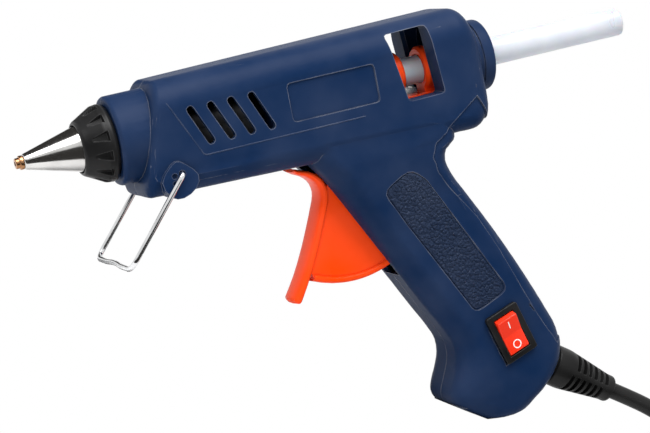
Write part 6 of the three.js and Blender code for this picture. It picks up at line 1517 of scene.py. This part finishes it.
def round_trigger(points):
    """How far the trigger's points move from its packed faces to a rounded lever and bead. The
    lever's sections are shares of its thickness and width about its front line's normal, rounder
    in front than behind, and its two ends are domes. The bead's are about its arc."""
    x, y, z = points.T
    shares = np.array(leverShares)
    front = spline_through(np.array((PIVOT_X, PIVOT_Z)) - LEVER_LENGTH * shares, 14)
    tangent = np.gradient(front, axis=0)
    tangent /= np.linalg.norm(tangent, axis=1, keepdims=True)
    rows = np.linspace(0, len(shares) - 1, len(front))
    thick = LEVER_THICKNESS * np.interp(rows, np.arange(len(shares)), leverThicknessShares)
    flat = np.stack((x, z), -1)
    found = nearest(flat, front)
    offset, ahead, half = flat - front[found], tangent[found], thick[found] / 2
    behind = np.stack((-ahead[:, 1], ahead[:, 0]), -1)
    a = (offset * behind).sum(axis=1) / half - 1
    past = (offset * ahead).sum(axis=1) / half
    first, last = found == 0, found == len(front) - 1
    c = np.where(first, np.minimum(past, 0), np.where(last, np.maximum(past, 0), 0))
    b = y / LEVER_HALF_WIDTH
    r = np.hypot(a, c)
    shrink = rounded_section(r, b, power_at(a, LEVER_POWERS)) * (1 - smooth_step(r, *LEVER_FADE))
    moved = (half * shrink)[:, None] * (a[:, None] * behind + c[:, None] * ahead)
    side = LEVER_HALF_WIDTH * shrink * b
    radius, angle = np.hypot(x - PIVOT_X, z - PIVOT_Z), np.arctan2(x - PIVOT_X, PIVOT_Z - z)
    a = (radius - RIM_RADIUS + RIM_BEAD / 2) / (RIM_BEAD / 2)
    near = (r > LEVER_FADE[1]) * (np.abs(angle) < RIM_REACH)
    near = near * (1 - smooth_step(np.abs(a), *RIM_FADE))
    shrink = rounded_section(a, b, power_at(-a, RIM_POWERS)) * near
    out = np.stack((np.sin(angle), -np.cos(angle)), -1)
    moved = moved + (RIM_BEAD / 2 * shrink * a)[:, None] * out
    side = side + LEVER_HALF_WIDTH * shrink * b
    return np.stack((moved[:, 0], side, moved[:, 1]), -1)


def make_trigger():
    """The trigger with its fan and rim, and its two pins."""
    edge = bpy.context.scene.glue_gun_sizes.trigger_edge
    lever = smooth_copy(
        "trigger", "orange_trigger", edge, rounding=round_trigger, longest=LEVER_LONGEST_EDGE
    )
    stand_for(dress(lever, finish("Orange")), "trigger", "orange", "trigger")
    shade_node("trigger_pin", finish("Plated screw"))
    shade_node("drive_pin", finish("Plated screw"))


def from_switch(points):
    """Points of the switch's frame in the row frame, in metres."""
    x, z = on_handle(switchShares)
    return row(turned_about_y(points, SWITCH_TILT, (x, -SWITCH_SEAT, z)))


def tilted(points):
    """Points of the level rocker, turned about its pins to its resting side."""
    c, s = math.cos(ROCKER_TILT), math.sin(ROCKER_TILT)
    return np.asarray(points, float) @ np.array(((c, s, 0), (-s, c, 0), (0, 0, 1)))


def rocker_top(x):
    """Depth of the rocker's face at x: straight lines from the valley to its two high ends."""
    reach = math.sqrt(ROCKER_RADIUS**2 - ROCKER_HEIGHT**2)
    return -(ROCKER_VALLEY + (ROCKER_HEIGHT - ROCKER_VALLEY) * np.abs(x) / reach)


def rocker_grid():
    """The rocker: its side outline, with ends on a circle round the pins, carried across it.
    The outline is drawn in at both flanks by a quarter round, which softens the edges."""
    depth = np.linspace(-ROCKER_HEIGHT, ROCKER_DEPTH, 14)
    reach = np.sqrt(ROCKER_RADIUS**2 - depth**2)
    right = np.stack((reach, depth), -1)
    left = np.stack((-reach, depth), -1)[::-1]
    outline = np.vstack(((0, -ROCKER_VALLEY), right, left, (0, -ROCKER_VALLEY)))
    soft = np.where(np.abs(outline[:, 1] + ROCKER_HEIGHT) < 1e-9, 0.5, 0.0)
    soft[[0, -1]] = 0
    outline = refined(softened(outline, soft, 5), 0.6)[:-1]
    round_off = np.sin(np.linspace(0, 1, 6) * TURN / 4)
    flank = ROCKER_HALF_WIDTH - ROCKER_EDGE * (1 - round_off)
    across = np.concatenate((-flank[::-1], flank))
    drawn = ROCKER_EDGE * (1 - np.sqrt(1 - round_off**2))
    shrink = np.concatenate((drawn[::-1], drawn))
    middle = np.array((0, (ROCKER_DEPTH - ROCKER_HEIGHT) / 2))
    scale = 1 - shrink[:, None, None] / np.array((ROCKER_RADIUS, ROCKER_HEIGHT))
    rings = middle + (outline - middle)[None] * scale
    places = np.broadcast_to(across[:, None, None], (*rings.shape[:2], 1))
    grid = np.concatenate((rings, places), -1)
    ends = [np.full((1, grid.shape[1], 3), (*middle, place)) for place in (across[0], across[-1])]
    return from_switch(tilted(np.vstack((ends[0], grid, ends[1]))))


def stroke_grid(path):
    """A printed stroke along a flat path on the rocker's face: a low oval section."""
    path = np.asarray(path, float)
    tangent = np.gradient(path, axis=0)
    tangent /= np.linalg.norm(tangent, axis=1, keepdims=True)
    side = np.stack((-tangent[:, 1], tangent[:, 0]), -1)
    angles = np.arange(12) * TURN / 12
    flat = path[:, None] + MARK_STROKE / 2 * np.cos(angles)[None, :, None] * side[:, None]
    height = rocker_top(flat[..., 0]) - MARK_RAISE * np.sin(angles)[None]
    grid = np.stack((flat[..., 0], height, flat[..., 1]), -1)
    middle = grid.mean(axis=1, keepdims=True) + np.zeros_like(grid[:, :1])
    ones = np.ones((1, 12, 1))
    return from_switch(tilted(np.vstack((middle[:1] * ones, grid, middle[-1:] * ones))))


def mark_grids():
    """The two marks of a mains switch: a stroke across for on and a ring for off."""
    line = np.stack((np.linspace(-0.5, 0.5, 9) * MARK_LENGTH - MARK_REACH, np.zeros(9)), -1)
    angles = np.linspace(0, TURN, 61)
    ring = MARK_LENGTH / 2 * np.stack((np.cos(angles), np.sin(angles)), -1)
    return stroke_grid(line), stroke_grid(ring + (MARK_REACH, 0))


def make_switch():
    """The switch's body and frame, its rocker with the two marks, and its terminals."""
    sizes = bpy.context.scene.glue_gun_sizes
    body = smooth_copy("switch_body", "switch_frame", sizes.small_edge)
    stand_for(dress(body, finish("Switch black")), "gun", "black_plastic", "switch_body")
    rocker = surface("red_rocker", rocker_grid(), sharp=60)
    stand_for(dress(rocker, finish("Rocker red")), "rocker", "red_plastic", "switch_rocker")
    marks = surface("rocker_marks", *mark_grids())
    stand_for(dress(marks, finish("Mark white")), "rocker", "red_plastic")
    for number in (1, 2):
        shade_node(f"switch_terminal_{number}", finish("Turned brass"))


def stand_path():
    """The stand's wire: from one hinge out to its leg, down, along the kinked bar and back up."""
    angle = LEAN + STAND_LEAN
    wide = STAND_HALF_WIDTH
    places = [(0, -STAND_HINGE_REACH), (0, -wide)]
    places += [(STAND_LEG - WIRE_KINK * up, share * wide) for share, up in barShares]
    places += [(0, wide), (0, STAND_HINGE_REACH)]
    down, across = np.array(places, float).T
    x, z = STAND_X - down * math.sin(angle), STAND_Z - down * math.cos(angle)
    corners = np.stack((x, across, z), -1)
    bends = np.full(len(corners), WIRE_CORNER * 1.3)
    bends[[1, -2]] = WIRE_BEND * 1.3
    return refined(softened(corners, bends, 12), 1.0)


def make_stand():
    """The wire stand, a round wire along its bent path."""
    angle = LEAN + STAND_LEAN
    plane = (math.cos(angle), 0, -math.sin(angle))
    reference = row(plane) - row((0, 0, 0))
    wire = surface("bright_wire", tube_along(row(stand_path()), MM * WIRE_RADIUS, 24, reference))
    stand_for(dress(wire, finish("Polished wire")), "stand", "chrome", "wire_stand")


def relief_grid():
    """The strain relief: a tapered sleeve with slots. On each quarter of its round the slots are
    sunk between soft edges, and on neighbouring quarters they are half a pitch apart."""
    inner = -RELIEF_NECK_LENGTH - RELIEF_FLANGE_LENGTH
    profile = (
        (inner, 0), (inner, RELIEF_FLANGE), (-RELIEF_NECK_LENGTH, RELIEF_FLANGE),
        (-RELIEF_NECK_LENGTH, RELIEF_NECK), (0, RELIEF_NECK), (0, RELIEF_RADIUS),
        (RELIEF_PLAIN, RELIEF_RADIUS), (RELIEF_LENGTH - RELIEF_END_RING, RELIEF_END_RADIUS),
        (RELIEF_LENGTH + GAP, RELIEF_END_RADIUS), (RELIEF_LENGTH + GAP, 0),
    )
    outline = refined(softened(profile, (0, 0.2, 0.2, 0.2, 0.2, 0.8, 1, 1, 1.2, 0)), 0.18)
    x, base = outline.T
    angle = np.arange(RELIEF_SIDES) * TURN / RELIEF_SIDES
    quarter = np.floor(angle / (TURN / 4))
    pitch = (RELIEF_LENGTH - RELIEF_END_RING - RELIEF_PLAIN) / (RELIEF_SLOTS + 0.5)
    phase = (x[:, None] - RELIEF_PLAIN) / pitch - 0.5 * (quarter % 2)[None]
    within = np.abs(phase % 1 - 0.5)
    slot = 1 - smooth_step(within, *RELIEF_SLOT_EDGE)
    started = (phase > 0) & (phase < RELIEF_SLOTS)
    centre = np.abs((angle % (TURN / 4)) - TURN / 8)
    bridge = 1 - smooth_step(centre, *RELIEF_BRIDGE_EDGE)
    radius = base[:, None] - RELIEF_SLOT_DEPTH * slot * started * bridge[None]
    floor = np.minimum(base[:, None], CORD_RADIUS + GAP)
    return about_x(x, np.maximum(radius, floor), angle)


def make_wiring():
    """The strain relief, and the cord's end, clamp and leads inside the handle."""
    grid = turned_about_y(relief_grid(), RELIEF_ANGLE, (RELIEF_X, 0, RELIEF_Z))
    relief = surface("slotted_relief", row(grid), sharp=60)
    stand_for(dress(relief, finish("Cord rubber")), "gun", "black_rubber", "strain_relief")
    shade_node("inner_cord", finish("Cord rubber"))
    shade_node("cord_clamp", finish("Switch black"))
    shade_node("clamp_screw_1", finish("Plated screw"))
    shade_node("clamp_screw_2", finish("Plated screw"))
    shade_node("lead_to_switch", finish("Brown lead"), 80)
    shade_node("lead_switched", finish("Brown lead"), 80)
    shade_node("lead_return", finish("Blue lead"), 80)


# Stage


def make_camera():
    """The camera, placed, turned and shifted so that the target falls on its pixel."""
    turn, rise, roll = CAMERA_TURN, CAMERA_RISE, CAMERA_ROLL
    level = -math.cos(rise)
    back = np.array((level * math.sin(turn), level * math.cos(turn), math.sin(rise)))
    across = np.array((math.cos(turn), -math.sin(turn), 0.0))
    above = np.cross(back, across)
    right = math.cos(roll) * across - math.sin(roll) * above
    up = math.sin(roll) * across + math.cos(roll) * above
    axes = np.array((right, up, back)) @ GUN_AXES
    place = row(np.array(CAMERA_TARGET) + CAMERA_DISTANCE * back)
    data = bpy.data.cameras.new("Camera")
    data.sensor_fit = "HORIZONTAL"
    data.sensor_width = SENSOR
    data.lens = CAMERA_SCALE * CAMERA_DISTANCE * SENSOR / PICTURE[0]
    data.shift_x = (PICTURE[0] / 2 - TARGET_PIXEL[0]) / PICTURE[0]
    data.shift_y = (TARGET_PIXEL[1] - PICTURE[1] / 2) / PICTURE[0]
    camera = new_object("Camera", data)
    camera.matrix_world = Matrix.Translation(Vector(place)) @ Matrix(axes.T.tolist()).to_4x4()
    bpy.context.scene.camera = camera


def stage_piece(name, corners):
    """Flat cards from their corners, four each, as part of the stage, and the empty node tree of
    their material."""
    mesh = bpy.data.meshes.new(name)
    corners = np.array(corners, float).reshape(-1, 3)
    mesh.from_pydata(corners.tolist(), [], np.arange(len(corners)).reshape(-1, 4).tolist())
    made = new_object(name, mesh)
    material = bpy.data.materials.new(name.replace("_", " ").capitalize())
    material.use_nodes = True
    material.node_tree.nodes.clear()
    mesh.materials.append(material)
    return made, material.node_tree


def make_floor():
    """A pale floor that shows the object's shadow from above and is clear from below."""
    reach = FLOOR_REACH
    corners = ((-reach, -reach, 0), (reach, -reach, 0), (reach, reach, 0), (-reach, reach, 0))
    _, tree = stage_piece("floor", corners)
    white_share = 1 - bpy.context.scene.glue_gun_studio.shadow
    paper = add(tree, "ShaderNodeBsdfDiffuse", {"Color": FLOOR_COLOUR}).outputs[0]
    white = add(tree, "ShaderNodeEmission", {"Color": WHITE, "Strength": 1}).outputs[0]
    path = add(tree, "ShaderNodeLightPath").outputs
    share = math_node(tree, "MULTIPLY", path["Is Camera Ray"], white_share)
    seen = add(tree, "ShaderNodeMixShader", {0: share, 1: paper, 2: white}).outputs[0]
    clear = add(tree, "ShaderNodeBsdfTransparent").outputs[0]
    behind = add(tree, "ShaderNodeNewGeometry").outputs["Backfacing"]
    result = add(tree, "ShaderNodeMixShader", {0: behind, 1: seen, 2: clear}).outputs[0]
    add(tree, "ShaderNodeOutputMaterial", {"Surface": result})


def make_lamp(name, place, size, power):
    """A square soft lamp that points at the gun."""
    data = bpy.data.lights.new(name, "AREA")
    data.size = size
    data.energy = power
    lamp = new_object(name, data)
    lamp.location = place
    aim = Vector(LAMP_TARGET) - Vector(place)
    lamp.rotation_euler = aim.to_track_quat("-Z", "Y").to_euler()


def make_cards():
    """Dark cards that shape the reflections in the metal, and that nothing else sees."""
    cards, tree = stage_piece("dark_cards", cardCorners)
    dark = add(tree, "ShaderNodeEmission", {"Color": CARD_COLOUR, "Strength": 1}).outputs[0]
    add(tree, "ShaderNodeOutputMaterial", {"Surface": dark})
    cards.visible_camera = cards.visible_diffuse = cards.visible_transmission = False
    cards.visible_shadow = cards.visible_volume_scatter = False


def make_world():
    """Even soft light, with a white backdrop for the camera, reflections and clear pieces."""
    world = bpy.data.worlds.new("Studio")
    bpy.context.scene.world = world
    world.use_nodes = True
    tree = world.node_tree
    tree.nodes.clear()
    level = bpy.context.scene.glue_gun_studio.sky
    soft = add(tree, "ShaderNodeBackground", {"Color": WHITE, "Strength": level}).outputs[0]
    white = add(tree, "ShaderNodeBackground", {"Color": WHITE, "Strength": 1}).outputs[0]
    path = add(tree, "ShaderNodeLightPath").outputs
    shown = math_node(tree, "MAXIMUM", path["Is Camera Ray"], path["Is Transmission Ray"])
    shown = math_node(tree, "MAXIMUM", shown, path["Is Glossy Ray"])
    result = add(tree, "ShaderNodeMixShader", {0: shown, 1: soft, 2: white}).outputs[0]
    add(tree, "ShaderNodeOutputWorld", {"Surface": result})


def make_stage():
    """The camera, floor, backdrop and lamps."""
    studio = bpy.context.scene.glue_gun_studio
    make_camera()
    make_floor()
    make_cards()
    make_world()
    make_lamp("key", KEY_PLACE, KEY_SIZE, studio.key)
    make_lamp("fill", FILL_PLACE, FILL_SIZE, studio.fill)
    bpy.context.scene.view_settings.view_transform = "Standard"


# Operators and panel


def operator(name, label, text, work):
    """An operator class that runs one of the making functions."""

    def execute(self, context):
        work()
        return {"FINISHED"}

    members = {"__doc__": text, "bl_idname": f"glue_gun.{name}", "bl_label": label}
    members["execute"] = execute
    return type(f"GLUE_GUN_OT_{name}", (bpy.types.Operator,), members)


OPERATORS = (
    operator("stage", "Stage", "Makes the camera, floor, backdrop and lamps", make_stage),
    operator("cord", "Cord and Plug", "Makes the mains cord with its tie and plug", make_cord),
    operator("housing", "Housing", "Finishes the two moulded halves and screws", make_housing),
    operator("nozzle", "Nozzle", "Makes the brass tip, steel cone and collar", make_nozzle),
    operator("heater", "Heater", "Finishes the melt chamber and what heats it", make_heater),
    operator("feed", "Glue Feed", "Makes the glue stick, its slide and the rear ring", make_feed),
    operator("trigger", "Trigger", "Finishes the trigger and its pins", make_trigger),
    operator("switch", "Rocker Switch", "Makes the switch with its rocker and marks", make_switch),
    operator("stand", "Wire Stand", "Makes the bent wire stand", make_stand),
    operator("wiring", "Wiring", "Makes the strain relief and finishes the leads", make_wiring),
)


class GLUE_GUN_PT_pieces(bpy.types.Panel):
    """Lists the operators in the 3D view's sidebar."""

    bl_label = "Glue Gun"
    bl_idname = "GLUE_GUN_PT_pieces"
    bl_space_type = "VIEW_3D"
    bl_region_type = "UI"
    bl_category = "Glue Gun"

    def draw(self, context):
        for kind in OPERATORS:
            self.layout.operator(kind.bl_idname)


SETTINGS = {
    "glue_gun_sizes": GlueGunSizes,
    "glue_gun_colours": GlueGunColours,
    "glue_gun_studio": GlueGunStudio,
}


def register():
    """Registers the settings, the operators and the panel."""
    for name, kind in SETTINGS.items():
        bpy.utils.register_class(kind)
        setattr(bpy.types.Scene, name, bpy.props.PointerProperty(type=kind))
    for kind in (*OPERATORS, GLUE_GUN_PT_pieces):
        bpy.utils.register_class(kind)


def unregister():
    """Takes away what register added, in the other order."""
    for kind in reversed((*OPERATORS, GLUE_GUN_PT_pieces)):
        bpy.utils.unregister_class(kind)
    for name, kind in reversed(SETTINGS.items()):
        delattr(bpy.types.Scene, name)
        bpy.utils.unregister_class(kind)


def main():
    """Registers the classes, calls the operators in order, and writes the two boxes."""
    register()
    bpy.ops.glue_gun.stage()
    bpy.ops.glue_gun.cord()
    bpy.ops.glue_gun.housing()
    bpy.ops.glue_gun.nozzle()
    bpy.ops.glue_gun.heater()
    bpy.ops.glue_gun.feed()
    bpy.ops.glue_gun.trigger()
    bpy.ops.glue_gun.switch()
    bpy.ops.glue_gun.stand()
    bpy.ops.glue_gun.wiring()


if __name__ == "__main__":
    main()
